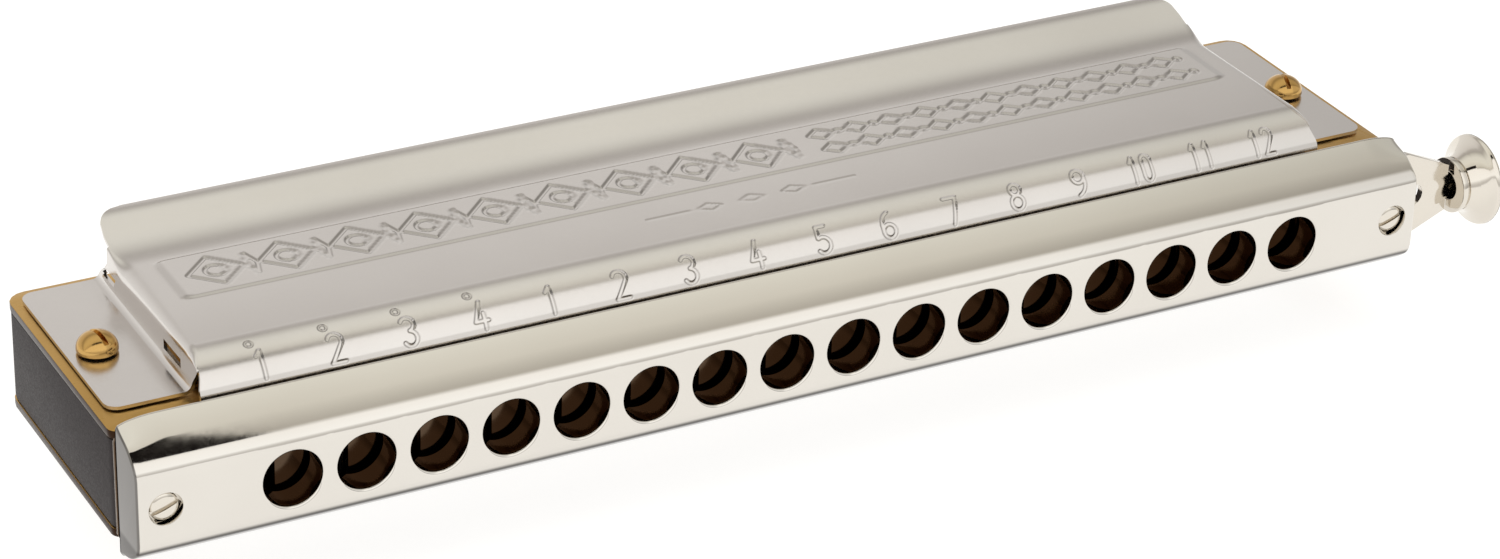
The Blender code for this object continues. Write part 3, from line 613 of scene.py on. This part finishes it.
def cover_profile():
    """Rows of (y, z, length from the foot) from the front foot to the raised rear lip."""
    foot = (COVER_FRONT, FLANGE_TOP - SHEET)
    knee = (COVER_FRONT + 0.1, 9.2)
    centre = (COVER_SHOULDER_Y, COVER_TOP - COVER_SHOULDER)
    shoulder = arc(centre, COVER_SHOULDER, 180 - WALL_LEAN, 90, 84)
    path = [foot] + spaced(foot, knee, 0.25) + spaced(knee, shoulder[0], 0.12) + shoulder[1:]
    path += spaced(path[-1], (LIP_START, COVER_TOP), 0.22)
    path += arc((LIP_START, COVER_TOP + LIP_HOLLOW), LIP_HOLLOW, 270, 270 + LIP_TURN, 14)[1:]
    turn = math.radians(LIP_TURN)
    y, z = path[-1]
    path.append((y + LIP_RISE * math.cos(turn), z + LIP_RISE * math.sin(turn)))
    y, z = path[-1]
    centre = (y + LIP_ROLL * math.sin(turn), z - LIP_ROLL * math.cos(turn))
    path += arc(centre, LIP_ROLL, 90 + LIP_TURN, 90, 8)[1:]
    steps = np.hypot(*np.diff(np.array(path), axis=0).T)
    return np.column_stack([path, np.concatenate([[0.0], np.cumsum(steps)])])


def spaced(start, end, step):
    """Points on a straight run after its start, about `step` apart."""
    count = max(1, round(math.dist(start, end) / step))
    return [tuple(point) for point in np.linspace(start, end, count + 1)[1:]]


def outward_ways(profile):
    """Unit normals in (y, z) along the cover's profile."""
    along = np.gradient(profile[:, :2], axis=0)
    along /= np.linalg.norm(along, axis=1)[:, None]
    return np.column_stack([-along[:, 1], along[:, 0]])


def ring(centre, radius):
    return arc(centre, radius, 0, 360, 20)


def digit_strokes():
    """Lines of each digit in a box one unit wide and two units tall."""
    return {
        "0": [arc((0.5, 1.5), 0.5, 0, 180, 10) + arc((0.5, 0.5), 0.5, 180, 360, 10) + [(1.0, 1.5)]],
        "1": [[(0.2, 1.6), (0.55, 2.0), (0.55, 0.0)]],
        "2": [arc((0.5, 1.5), 0.5, 160, -30, 12) + [(0.0, 0.0), (1.0, 0.0)]],
        "3": [arc((0.48, 1.52), 0.48, 150, -80, 12), arc((0.48, 0.52), 0.52, 80, -150, 12)],
        "4": [[(0.62, 2.0), (0.0, 0.6), (1.0, 0.6)], [(0.72, 1.15), (0.72, 0.0)]],
        "5": [[(0.9, 2.0), (0.2, 2.0), (0.1, 1.15)] + arc((0.45, 0.6), 0.58, 120, -140, 14)],
        "6": [arc((1.0, 1.0), 1.0, 110, 180, 8) + arc((0.5, 0.55), 0.5, 180, 540, 20)],
        "7": [[(0.0, 2.0), (1.0, 2.0), (0.4, 0.0)]],
        "8": [ring((0.5, 1.52), 0.42), ring((0.5, 0.55), 0.52)],
        "9": [arc((0.0, 1.0), 1.0, -70, 0, 8) + arc((0.5, 1.45), 0.5, 0, 360, 20)],
    }


def line_distance(x, y, lines):
    """Distance from each grid point to the nearest of the lines."""
    nearest = np.full(x.shape, 1e3)
    for line in lines:
        for (ax, ay), (bx, by) in zip(line[:-1], line[1:]):
            dx, dy = bx - ax, by - ay
            length = max(dx * dx + dy * dy, 1e-9)
            share = np.clip(((x - ax) * dx + (y - ay) * dy) / length, 0, 1)
            nearest = np.minimum(nearest, np.hypot(x - ax - share * dx, y - ay - share * dy))
    return nearest


def groove(distance, half_width, depth, wall=0.1):
    return -depth * (1 - smoothstep(half_width - wall / 2, half_width + wall / 2, distance))


def hole_numbers():
    """The lowest four holes are numbered 1 to 4 under a ring, the others 1 to 12."""
    return [(str(index % 4 + 1), True) if index < 4 else (str(index - 3), False)
            for index in range(HOLE_COUNT)]


def digit_relief(x, s):
    """Stamped numbers on the front wall, one above each hole."""
    height = np.zeros(x.shape)
    strokes = digit_strokes()
    scale = DIGIT_HEIGHT / 2
    for centre, (text, ringed) in zip(HOLE_XS, hole_numbers()):
        wide = 0.95 if len(text) == 1 else 0.72
        pitch = wide * scale + 0.75
        lines = []
        for place, digit in enumerate(text):
            left = centre - pitch * (len(text) - 1) / 2 + pitch * place - wide * scale / 2
            for line in strokes[digit]:
                lines.append([(left + u * wide * scale, DIGIT_BASE + v * scale) for u, v in line])
        near = np.abs(x - centre) < PITCH / 2
        height[near] += groove(line_distance(x[near], s[near], lines), 0.24, 0.11)
        if ringed:
            middle = (centre - 0.75, DIGIT_BASE + DIGIT_HEIGHT + 1.2)
            height[near] += groove(line_distance(x[near], s[near], [ring(middle, 0.46)]), 0.13, 0.10)
    return height


def lozenge(centre, half_width, half_height):
    x, y = centre
    return [(x - half_width, y), (x, y + half_height), (x + half_width, y), (x, y - half_height),
            (x - half_width, y)]


def banner_relief(x, y):
    """A raised panel with a border line, a frieze of lozenges and rings, and a double row of small ones."""
    middle = (BANNER[0] + BANNER[1]) / 2
    half = (BANNER[1] - BANNER[0]) / 2
    corner = 1.2
    outside = np.hypot(np.maximum(np.abs(x) - BANNER_HALF + corner, 0),
                       np.maximum(np.abs(y - middle) - half + corner, 0)) - corner
    inside = np.minimum(np.maximum(np.abs(x) - BANNER_HALF, np.abs(y - middle) - half), 0)
    edge = np.where(outside > -corner, outside, inside)
    height = 0.16 * (1 - smoothstep(-0.2, 0.2, edge))
    lines = []
    for step in range(9):
        place = -69.0 + step * 9.4
        lines.append(lozenge((place, middle), 3.7, 3.6))
        lines.append(ring((place, middle), 1.35))
        lines.append(lozenge((place + 4.7, middle), 0.75, 2.6))
    for step in range(11):
        place = 16.6 + step * 5.3
        for row in (-2.1, 2.1):
            lines.append(lozenge((place, middle + row), 1.9, 1.45))
            lines.append(ring((place + 2.65, middle + row), 0.42))
    height += groove(line_distance(x, y, lines), 0.26, 0.13, 0.16)
    small = [lozenge((place, 19.4), 1.7, 0.9) for place in (-6.0, 0.0, 6.0)]
    small += [[(-15.0, 19.4), (-9.0, 19.4)], [(9.0, 19.4), (15.0, 19.4)]]
    return height + groove(line_distance(x, y, small), 0.16, 0.06, 0.12)


def shoulder_radius(y):
    """The end shoulder is sharp at the front corner and widens towards the lip."""
    widening = 0.2 + 0.9 * smoothstep(9.6, 12.6, y) + 0.7 * np.clip((y - 12.6) / 20, 0, 1)
    return widening - 1.45 * smoothstep(34.0, 39.2, y)


def cover_columns(numbered):
    """X places across the straight part of a cover, finer where numbers are stamped."""
    if not numbered:
        return np.linspace(-STRAIGHT_HALF, STRAIGHT_HALF, 430)
    columns = []
    for centre in HOLE_XS:
        columns += list(np.linspace(centre - NUMBER_HALF, centre + NUMBER_HALF, 44))
        columns += list(np.linspace(centre + NUMBER_HALF, centre + PITCH - NUMBER_HALF, 14)[1:-1])
    return np.array([x for x in columns if x < STRAIGHT_HALF])


def straight_end(profile, wall_rows):
    """How far along X the sheet of each row runs before the end wall, or before its free edge."""
    y = profile[:, 0]
    end = WALL_X - shoulder_radius(y)
    front = np.arange(len(y)) < wall_rows[0]
    end[front] = WALL_X - 0.2 + 0.5 * smoothstep(WALL_ROW_START, 9.6, profile[front, 1])
    start = profile[wall_rows[1], 0]
    reach = smoothstep(start, start + 1.0, y)
    end = np.where(y > start, end + (LIP_END_X - end) * reach, end)
    along = np.clip(y - (profile[-1, 0] - LIP_CORNER), 0, LIP_CORNER)
    return end - (LIP_CORNER - np.sqrt(LIP_CORNER ** 2 - along ** 2))


def end_columns(y, z):
    """(x, y, z) points of one row over the shoulder, down the wall and out to the flange's end."""
    radius = float(shoulder_radius(y))
    points = []
    for angle in np.radians(np.linspace(0, 90, 9)):
        points.append((WALL_X - radius + radius * math.sin(angle),
                       z - radius + radius * math.cos(angle)))
    heights = list(np.linspace(z - radius, VENT_Z[1], 4)[1:])
    heights += list(np.linspace(VENT_Z[1], VENT_Z[0], 4)[1:])
    points += [(WALL_X, height) for height in heights]
    centre = (WALL_X + FOOT_FILLET, FLANGE_TOP + FOOT_FILLET)
    points += arc(centre, FOOT_FILLET, 180, 270, 7)
    corner = FLANGE_END - FLANGE_ROUND
    flange = list(np.linspace(centre[0], corner, 5)[1:])
    flange += [corner + FLANGE_ROUND * math.sin(a) for a in np.radians(np.linspace(10, 90, 9))]
    points += [(x, FLANGE_TOP) for x in flange]
    return points


def flange_y(x, z, y, front, back):
    """Spread the rows of the end wall towards the flange's own front and rear edges."""
    low = smoothstep(FLANGE_TOP + 4.0, FLANGE_TOP + 0.3, z)
    y = y + low * (FLANGE_FRONT - front) * (1 - smoothstep(front, 15.0, y))
    y = y + low * (FLANGE_BACK - back) * smoothstep(33.0, back, y)
    middle = (FLANGE_FRONT + FLANGE_BACK) / 2
    half = (FLANGE_BACK - FLANGE_FRONT) / 2
    over = max(0.0, x - (FLANGE_END - FLANGE_ROUND))
    taken = FLANGE_ROUND - math.sqrt(max(FLANGE_ROUND ** 2 - over ** 2, 0.0))
    return middle + (y - middle) * (half - taken) / half


def build_cover(level):
    name = "upper" if level > 0 else "lower"
    numbered = level > 0
    skin = Skin()
    profile = cover_profile()
    ways = outward_ways(profile)
    first = int(np.argmax(profile[:, 1] > WALL_ROW_START))
    last = int(np.argmax(profile[:, 0] > WALL_ROW_END))
    ends = straight_end(profile, (first, last))
    columns = cover_columns(numbered)
    margin = np.linspace(0, 1, 9)[1:]
    count = len(columns) + 2 * len(margin)
    x = np.empty((len(profile), count))
    for row, end in enumerate(ends):
        right = columns[-1] + (end - columns[-1]) * margin
        left = columns[0] + (-end - columns[0]) * margin
        x[row] = np.concatenate([left[::-1], columns, right])
    y = np.repeat(profile[:, :1], count, axis=1)
    z = np.repeat(profile[:, 1:2], count, axis=1)
    s = np.repeat(profile[:, 2:3], count, axis=1)
    z = z - 0.15 * np.clip((24.0 - y) / 10.3, 0, 1) ** 2
    relief = banner_relief(x, y)
    if numbered:
        relief += digit_relief(x, s)
    y = y + relief * ways[:, :1]
    z = z + relief * ways[:, 1:]
    flip = 1 if level > 0 else -1
    # Painted shade: the steeper the stamped relief, the darker its edge is painted, to stand in for dark
    # reflections.
    steep = np.hypot(np.gradient(relief, axis=0) / np.gradient(s, axis=0),
                     np.gradient(relief, axis=1) / np.gradient(x, axis=1))
    skin.grid(np.stack([flip * x, y, flip * z], axis=2), painted_edge_shade=np.clip(steep / 0.9, 0, 1))
    build_end_walls(skin, profile, first, last, flip)
    cover = make_piece(name + "_cover_sheet", skin, STEEL,
                       replaces=[name + "_cover"], crease=50)
    solidify = cover.modifiers.new("sheet", "SOLIDIFY")
    solidify.thickness = SHEET * MM
    solidify.offset = -1.0
    apply_modifiers(cover)
    shade(cover, 50)
    return cover


def build_end_walls(skin, profile, first, last, flip):
    front = profile[first, 0]
    back = profile[last, 0]
    for side in (1, -1):
        rows = []
        keep = []
        for y, z, _ in profile[first:last + 1]:
            row = [(side * flip * px, flange_y(px, pz, y, front, back), flip * pz)
                   for px, pz in end_columns(y, z)]
            rows.append(row)
            keep.append([not vent_cell(row[i], row[i + 1]) for i in range(len(row) - 1)])
        skin.grid(rows, keep=keep)


def vent_cell(a, b):
    """Whether the cell between two neighbours in a row lies in one of the wall's slots."""
    height = (abs(a[2]) + abs(b[2])) / 2
    if not (VENT_Z[0] < height < VENT_Z[1] and abs(a[0]) < WALL_X + 0.01):
        return False
    return any(low < a[1] < high for low, high in VENTS)


# ---- turned pieces ------------------------------------------------------------------------------

AXES = {
    "+Z": Matrix.Identity(3),
    "-Z": Matrix.Rotation(math.pi, 3, "X"),
    "+X": Matrix.Rotation(math.pi / 2, 3, "Y"),
    "+Y": Matrix.Rotation(-math.pi / 2, 3, "X"),
}


def turned(skin, profile, place, axis, steps=64):
    """A solid of revolution from (radius, height) points, turned about an axis through `place`."""
    turn = np.array(AXES[axis])
    rows = []
    for radius, height in profile:
        angles = np.radians(np.linspace(0, 360, steps + 1)[:-1])
        flat = np.stack([radius * np.cos(angles), radius * np.sin(angles), np.full(steps, height)], 1)
        rows.append(flat @ turn.T + np.array(place))
    skin.grid(rows, closed=True)


def fillet_path(corners, steps=5):
    """(radius, height) points along straight runs whose corners are rounded by a third value."""
    path = [corners[0][:2]]
    for before, corner, after in zip(corners[:-2], corners[1:-1], corners[2:]):
        here = np.array(corner[:2])
        towards = np.array(before[:2]) - here
        onward = np.array(after[:2]) - here
        reach = corner[2]
        start = here + towards / np.linalg.norm(towards) * reach
        end = here + onward / np.linalg.norm(onward) * reach
        for t in np.linspace(0, 1, steps if reach > 0 else 1):
            path.append(tuple((1 - t) ** 2 * start + 2 * t * (1 - t) * here + t * t * end))
    path.append(corners[-1][:2])
    return path


def cut_slot(piece, place, size, turn):
    """A straight driver slot, cut with a bar whose long side is turned by a matrix."""
    bpy.ops.mesh.primitive_cube_add(size=1.0)
    bar = bpy.context.object
    bar.matrix_world = (Matrix.Translation(ORIGIN + Vector(place) * MM) @ turn
                        @ Matrix.Diagonal((*(value * MM for value in size), 1.0)))
    modifier = piece.modifiers.new("slot", "BOOLEAN")
    modifier.object = bar
    edge = piece.modifiers.new("slot_edges", "BEVEL")
    edge.width = 0.05 * MM
    edge.segments = 2
    edge.angle_limit = math.radians(40)
    apply_modifiers(piece)
    bpy.data.objects.remove(bar, do_unlink=True)
    shade(piece, 35)


def build_button():
    """The turned button: a domed flare, a waist, a groove, and a bored collar."""
    low, high = BUTTON_BOX
    length = high.x - low.x
    rim = (high.z - low.z) / 2
    bore = 1.95
    corners = [
        (0.0, length), (2.6, length - 0.05, 1.0), (5.1, length - 0.5, 0.8), (6.1, length - 1.0, 0.4),
        (rim, length - 1.45, 0.25), (rim - 0.15, length - 1.85, 0.2), (4.7, length - 2.7, 0.9),
        (3.85, length - 3.75, 0.8), (3.72, 1.35, 0.15), (3.35, 1.2, 0.08), (3.35, 0.92, 0.08),
        (3.85, 0.8, 0.12), (3.85, 0.0, 0.18), (bore, 0.0, 0.15), (bore, 3.5, 0.1), (0.0, 3.6),
    ]
    skin = Skin()
    middle = ((low.y + high.y) / 2, (low.z + high.z) / 2)
    turned(skin, fillet_path(corners), (low.x, *middle), "+X", steps=96)
    return make_piece("slide_button_turned", skin, NICKEL, SLIDER, ["slide_button"])


def dome_corners(base, radius, height):
    """A domed head that stands on a short upright rim."""
    rim = 0.35
    steps = np.radians(np.linspace(0, 88, 16))
    dome = [(radius * math.sin(a), base + rim + (height - rim) * math.cos(a)) for a in steps]
    return dome + [(radius, base + rim * 0.6), (radius, base + 0.12), (radius - 0.12, base)]


def build_cover_bolts():
    seat = FLANGE_TOP + GAP
    for side, end in ((-1, "left"), (1, "right")):
        place = (side * BOLT_X, BOLT_Y, 0.0)
        skin = Skin()
        profile = dome_corners(seat, 2.6, 2.45) + [(1.2, seat), (1.2, -9.2), (0.9, -9.5), (0.0, -9.5)]
        turned(skin, profile, place, "+Z")
        bolt = make_piece(f"cover_bolt_{end}_domed", skin, BRASS_BRIGHT,
                          replaces=["cover_bolt_" + end])
        slot = (place[0], place[1], seat + 2.95)
        cut_slot(bolt, slot, (0.62, 8.0, 2.9), Matrix.Rotation(math.radians(side * -14), 4, "Z"))
        skin = Skin()
        profile = dome_corners(seat, 2.6, 2.1) + [(1.45, seat), (1.45, 9.9), (0.0, 9.9)]
        turned(skin, profile, place, "-Z")
        make_piece(f"cover_nut_{end}_domed", skin, BRASS_BRIGHT, replaces=["cover_nut_" + end])


def build_mouth_screws():
    for side, end in ((-1, "left"), (1, "right")):
        place = (side * MOUTH_SCREW_X, 0.0, 0.0)
        corners = [(0.0, 0.3), (1.45, 0.42, 0.3), (1.85, 0.7, 0.15), (1.85, 1.6, 0.08),
                   (0.9, 1.6, 0.05), (0.9, 11.9, 0.1), (0.7, 12.2, 0.05), (0.0, 12.2)]
        skin = Skin()
        turned(skin, fillet_path(corners, 4), place, "+Y", steps=48)
        screw = make_piece(f"mouthpiece_screw_{end}_slotted", skin, NICKEL,
                           replaces=["mouthpiece_screw_" + end])
        slot = (place[0], 0.2, 0.0)
        cut_slot(screw, slot, (6.0, 1.5, 0.55), Matrix.Rotation(math.radians(-20), 4, "Y"))


# ---- reeds and valves ---------------------------------------------------------------------------

REED_PAD = 3.6
REED_RISE = 0.22            # how far a tongue's tip stands off its plate


def reed_block(skin, xs, ys, heights, thickness, flip, middle):
    """A thin strip: half widths, Y places and bottom heights down its length, in one closed skin."""
    rows = []
    for half, y, z, deep in zip(xs, ys, heights, thickness):
        rows.append([(middle - half, y, flip * z), (middle + half, y, flip * z),
                     (middle + half, y, flip * (z + deep)), (middle - half, y, flip * (z + deep))])
    skin.grid(rows, closed=True)
    skin.polygon(rows[0])
    skin.polygon(rows[-1])


def reed_skin(skin, x, tip, end, seat, flip, inward=1):
    """A reed: a tongue that thins from its root, a riveted pad with clipped corners, and the rivet."""
    root = end - REED_PAD
    ys = [tip, tip + 0.35 * (root - tip), tip + 0.7 * (root - tip), root, root + 0.55, end - 0.3, end]
    widths = [1.0, 1.0, 1.0, 1.0, 1.5, 1.5, 1.25]
    lift = [REED_RISE, 0.1, 0.02, 0.0, 0.0, 0.0, 0.0]
    deep = [0.14, 0.1, 0.16, 0.3, 0.3, 0.3, 0.3]
    heights = [seat + inward * rise - (thick if inward < 0 else 0) for rise, thick in zip(lift, deep)]
    reed_block(skin, widths, ys, heights, deep, flip, x)
    top = seat + inward * 0.3
    head = [(0.0, 0.42), (0.45, 0.38), (0.75, 0.22), (0.85, 0.0), (0.0, 0.0)]
    turned(skin, head, (x, end - 1.5, flip * top), "+Z" if flip * inward > 0 else "-Z", steps=20)


def valve_skin(skin, x, tip, end, seat, flip, inward=1):
    """A wind-saver valve: a long film and a shorter stiffener on it, glued down at the rear."""
    for layer, (front, half) in enumerate(((tip, 1.5), (tip + 0.3 * (end - tip), 1.35))):
        ys = np.linspace(front, end, 9)
        share = (end - ys) / (end - tip)
        base = 0.03 + 0.1 * layer
        drop = 0.07 if inward < 0 else 0
        heights = [seat + inward * (base + 0.28 * part * part) - drop for part in share]
        reed_block(skin, [half] * 9, ys, heights, [0.07] * 9, flip, x)


def build_reeds():
    """Outer reeds stand for the CAD ones; inner reeds and the valves are only here."""
    under = PLATE_BOX[0].z
    for level, name in ((1, "upper"), (-1, "lower")):
        for index in range(HOLE_COUNT):
            node = f"{name}_draw_reed_{index + 1:02d}"
            low, high = design_box(node)
            outer_x = (low.x + high.x) / 2
            inner_x = 2 * HOLE_XS[index] - outer_x
            skin = Skin()
            reed_skin(skin, outer_x, low.y, high.y, PLATE_TOP, level)
            make_piece(f"{name}_outer_reed_{index + 1:02d}", skin, REED_BRASS, replaces=[node])
            skin = Skin()
            reed_skin(skin, inner_x, low.y, high.y, under, level, -1)
            make_piece(f"{name}_inner_reed_{index + 1:02d}", skin, REED_BRASS)
            skin = Skin()
            valve_skin(skin, inner_x, low.y - 0.5, high.y - 0.6, PLATE_TOP, level)
            make_piece(f"{name}_outer_valve_{index + 1:02d}", skin, VALVE)
            skin = Skin()
            valve_skin(skin, outer_x, low.y - 0.5, high.y - 0.6, under, level, -1)
            make_piece(f"{name}_inner_valve_{index + 1:02d}", skin, VALVE)


# ---- pieces kept close to the CAD ---------------------------------------------------------------

def refine(node, name, material, body, width):
    """The CAD piece itself with small rounded edges, standing for its node."""
    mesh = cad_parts[node].data.copy()
    mesh.name = name
    bm = bmesh.new()
    bm.from_mesh(mesh)
    bmesh.ops.remove_doubles(bm, verts=bm.verts[:], dist=0.005 * MM)
    bmesh.ops.dissolve_limit(bm, angle_limit=0.01, verts=bm.verts[:], edges=bm.edges[:])
    bm.to_mesh(mesh)
    bm.free()
    mesh.materials.clear()
    mesh.materials.append(material)
    piece = bpy.data.objects.new(name, mesh)
    bpy.context.scene.collection.objects.link(piece)
    bevel = piece.modifiers.new("edges", "BEVEL")
    bevel.width = width * MM
    bevel.segments = 2
    bevel.limit_method = "ANGLE"
    bevel.angle_limit = math.radians(40)
    apply_modifiers(piece)
    shade(piece, 30)
    settle(piece, body, [node])
    return piece


def build_refined():
    refine("comb", "comb_moulded", PLASTIC, INSTRUMENT, 0.12)
    for level in ("upper", "lower"):
        refine(level + "_reed_plate", level + "_plate_brass", BRASS_PLATE, INSTRUMENT, 0.06)
    refine("slide", "slide_plated", SLIDE_NICKEL, SLIDER, 0.08)
    refine("slide_cage", "slide_cage_plated", DARK_NICKEL, INSTRUMENT, 0.03)
    refine("slide_backplate", "slide_backplate_plated", DARK_NICKEL, INSTRUMENT, 0.04)


def paint_kept_nodes():
    """Materials for the CAD nodes that show as they are."""
    kinds = {"slide_spring": SPRING_STEEL, "slide_bumper": RUBBER}
    for name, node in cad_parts.items():
        if node.hide_render:
            continue
        material = kinds.get(name, BRASS_BRIGHT)
        node.data.materials.clear()
        node.data.materials.append(material)
        node.data.shade_smooth()
        node.data.set_sharp_from_angle(angle=math.radians(35))


# ---- studio -------------------------------------------------------------------------------------

def build_floor():
    bpy.ops.mesh.primitive_plane_add(size=4.0)
    floor = bpy.context.object
    floor.name = "studio_floor"
    n = Nodes("studio_floor_white")
    tints = [(0.3, (0.27, 0.267, 0.262)), (0.7, (0.30, 0.297, 0.292))]
    n.join(n.ramp(n.noise(3.0), tints), "Base Color")
    n.set(Roughness=0.9, Emission_Color=(1.0, 0.995, 0.985, 1.0), Emission_Strength=0.84)
    n.shader.inputs["Specular IOR Level"].default_value = 0.0
    floor.data.materials.append(n.material)


CARD_EDGE = 111.8           # degrees around the long axis, above which the dark card ends
CARD_TIP = 0.3190           # X of a direction at which the card narrows to nothing
CARD_SLOPE = 9.7
CARD_WIDEST = 0.19
CARD_LEFT = -0.5


def build_world():
    """A tent with bands of brightness and one dark card, fitted to reflections in one view."""
    world = bpy.data.worlds.new("studio_tent")
    bpy.context.scene.world = world
    world.use_nodes = True
    tree = world.node_tree
    where = tree.nodes.new("ShaderNodeTexCoord").outputs["Generated"]
    split = tree.nodes.new("ShaderNodeSeparateXYZ")
    tree.links.new(where, split.inputs[0])

    def math_node(operation, *values):
        node = tree.nodes.new("ShaderNodeMath")
        node.operation = operation
        for place, value in enumerate(values):
            if isinstance(value, (int, float)):
                node.inputs[place].default_value = value
            else:
                tree.links.new(value, node.inputs[place])
        return node.outputs[0]

    angle = math_node("ARCTAN2", split.outputs["Z"], split.outputs["Y"])
    share = math_node("DIVIDE", angle, math.pi)
    ramp = tree.nodes.new("ShaderNodeValToRGB")
    stops = [
        (0, (0.98, 0.97, 0.95)), (24, (0.88, 0.86, 0.84)), (33, (0.80, 0.775, 0.755)),
        (39, (0.60, 0.575, 0.55)), (47, (0.52, 0.50, 0.47)), (56, (0.78, 0.765, 0.71)),
        (66, (0.95, 0.94, 0.875)), (84, (0.98, 0.965, 0.885)), (100, (0.86, 0.83, 0.75)),
        (110, (0.60, 0.57, 0.51)), (113, (1.24, 1.22, 1.19)), (156, (1.28, 1.28, 1.26)),
        (167, (0.86, 0.84, 0.81)), (175, (0.70, 0.68, 0.65)), (180, (0.86, 0.845, 0.83)),
    ]
    while len(ramp.color_ramp.elements) < len(stops):
        ramp.color_ramp.elements.new(0.5)
    for element, (degrees, colour) in zip(ramp.color_ramp.elements, stops):
        element.position = degrees / 180
        element.color = (*colour, 1.0)
    tree.links.new(share, ramp.inputs["Fac"])
    spread = math_node("MULTIPLY", math_node("SUBTRACT", CARD_TIP, split.outputs["X"]), CARD_SLOPE)
    spread = math_node("MINIMUM", spread, CARD_WIDEST)
    above = math_node("SUBTRACT", math.radians(CARD_EDGE), angle)
    inside = math_node(
        "MULTIPLY", math_node("GREATER_THAN", above, 0.0), math_node("LESS_THAN", above, spread),
    )
    wedge = math_node("MULTIPLY", inside, math_node("GREATER_THAN", split.outputs["X"], CARD_LEFT))
    mix = tree.nodes.new("ShaderNodeMix")
    mix.data_type = "RGBA"
    tree.links.new(wedge, mix.inputs["Factor"])
    tree.links.new(ramp.outputs["Color"], mix.inputs["A"])
    mix.inputs["B"].default_value = (0.012, 0.01, 0.009, 1.0)
    fade = tree.nodes.new("ShaderNodeMapRange")
    fade.interpolation_type = "SMOOTHSTEP"
    tree.links.new(split.outputs["X"], fade.inputs["Value"])
    for place, value in (("From Min", 0.42), ("From Max", 0.62), ("To Min", 1.0), ("To Max", 0.72)):
        fade.inputs[place].default_value = value
    background = tree.nodes["Background"]
    tree.links.new(mix.outputs["Result"], background.inputs["Color"])
    tree.links.new(fade.outputs["Result"], background.inputs["Strength"])


def area_light(name, place, target, size, power, glossy):
    data = bpy.data.lights.new(name, "AREA")
    data.shape = "RECTANGLE"
    data.size, data.size_y = size
    data.energy = power
    light = bpy.data.objects.new(name, data)
    bpy.context.scene.collection.objects.link(light)
    light.location = place
    light.rotation_euler = (Vector(target) - Vector(place)).to_track_quat("-Z", "Y").to_euler()
    light.visible_glossy = glossy
    light.visible_camera = False
    return light


def build_lights():
    area_light("overhead", (0.0, 0.1, 0.9), (0, 0, 0), (1.4, 1.0), 3.0, False)


def build_camera():
    """Front left and above, looking along the row of holes."""
    data = bpy.data.cameras.new("camera")
    camera = bpy.data.objects.new("camera", data)
    bpy.context.scene.collection.objects.link(camera)
    forward = Vector((0.42733, 0.77002, -0.47377)).normalized()
    up = Vector((0.19877, 0.43120, 0.88010))
    right = forward.cross(up).normalized()
    up = right.cross(forward)
    camera.matrix_world = Matrix.LocRotScale(
        Vector((-0.24395, -0.42904, 0.27883)),
        Matrix((right, up, -forward)).transposed().to_quaternion(), None,
    )
    data.sensor_width = 36.0
    data.lens = 103.27
    data.shift_x = 0.0005
    data.shift_y = 0.0017
    data.clip_start = 0.01
    bpy.context.scene.camera = camera


build_camera()
build_world()
build_lights()
build_floor()
build_mouthpiece()
build_cover(1)
build_cover(-1)
build_button()
build_cover_bolts()
build_mouth_screws()
build_reeds()
build_refined()
paint_kept_nodes()
bpy.context.scene.view_settings.view_transform = "Standard"
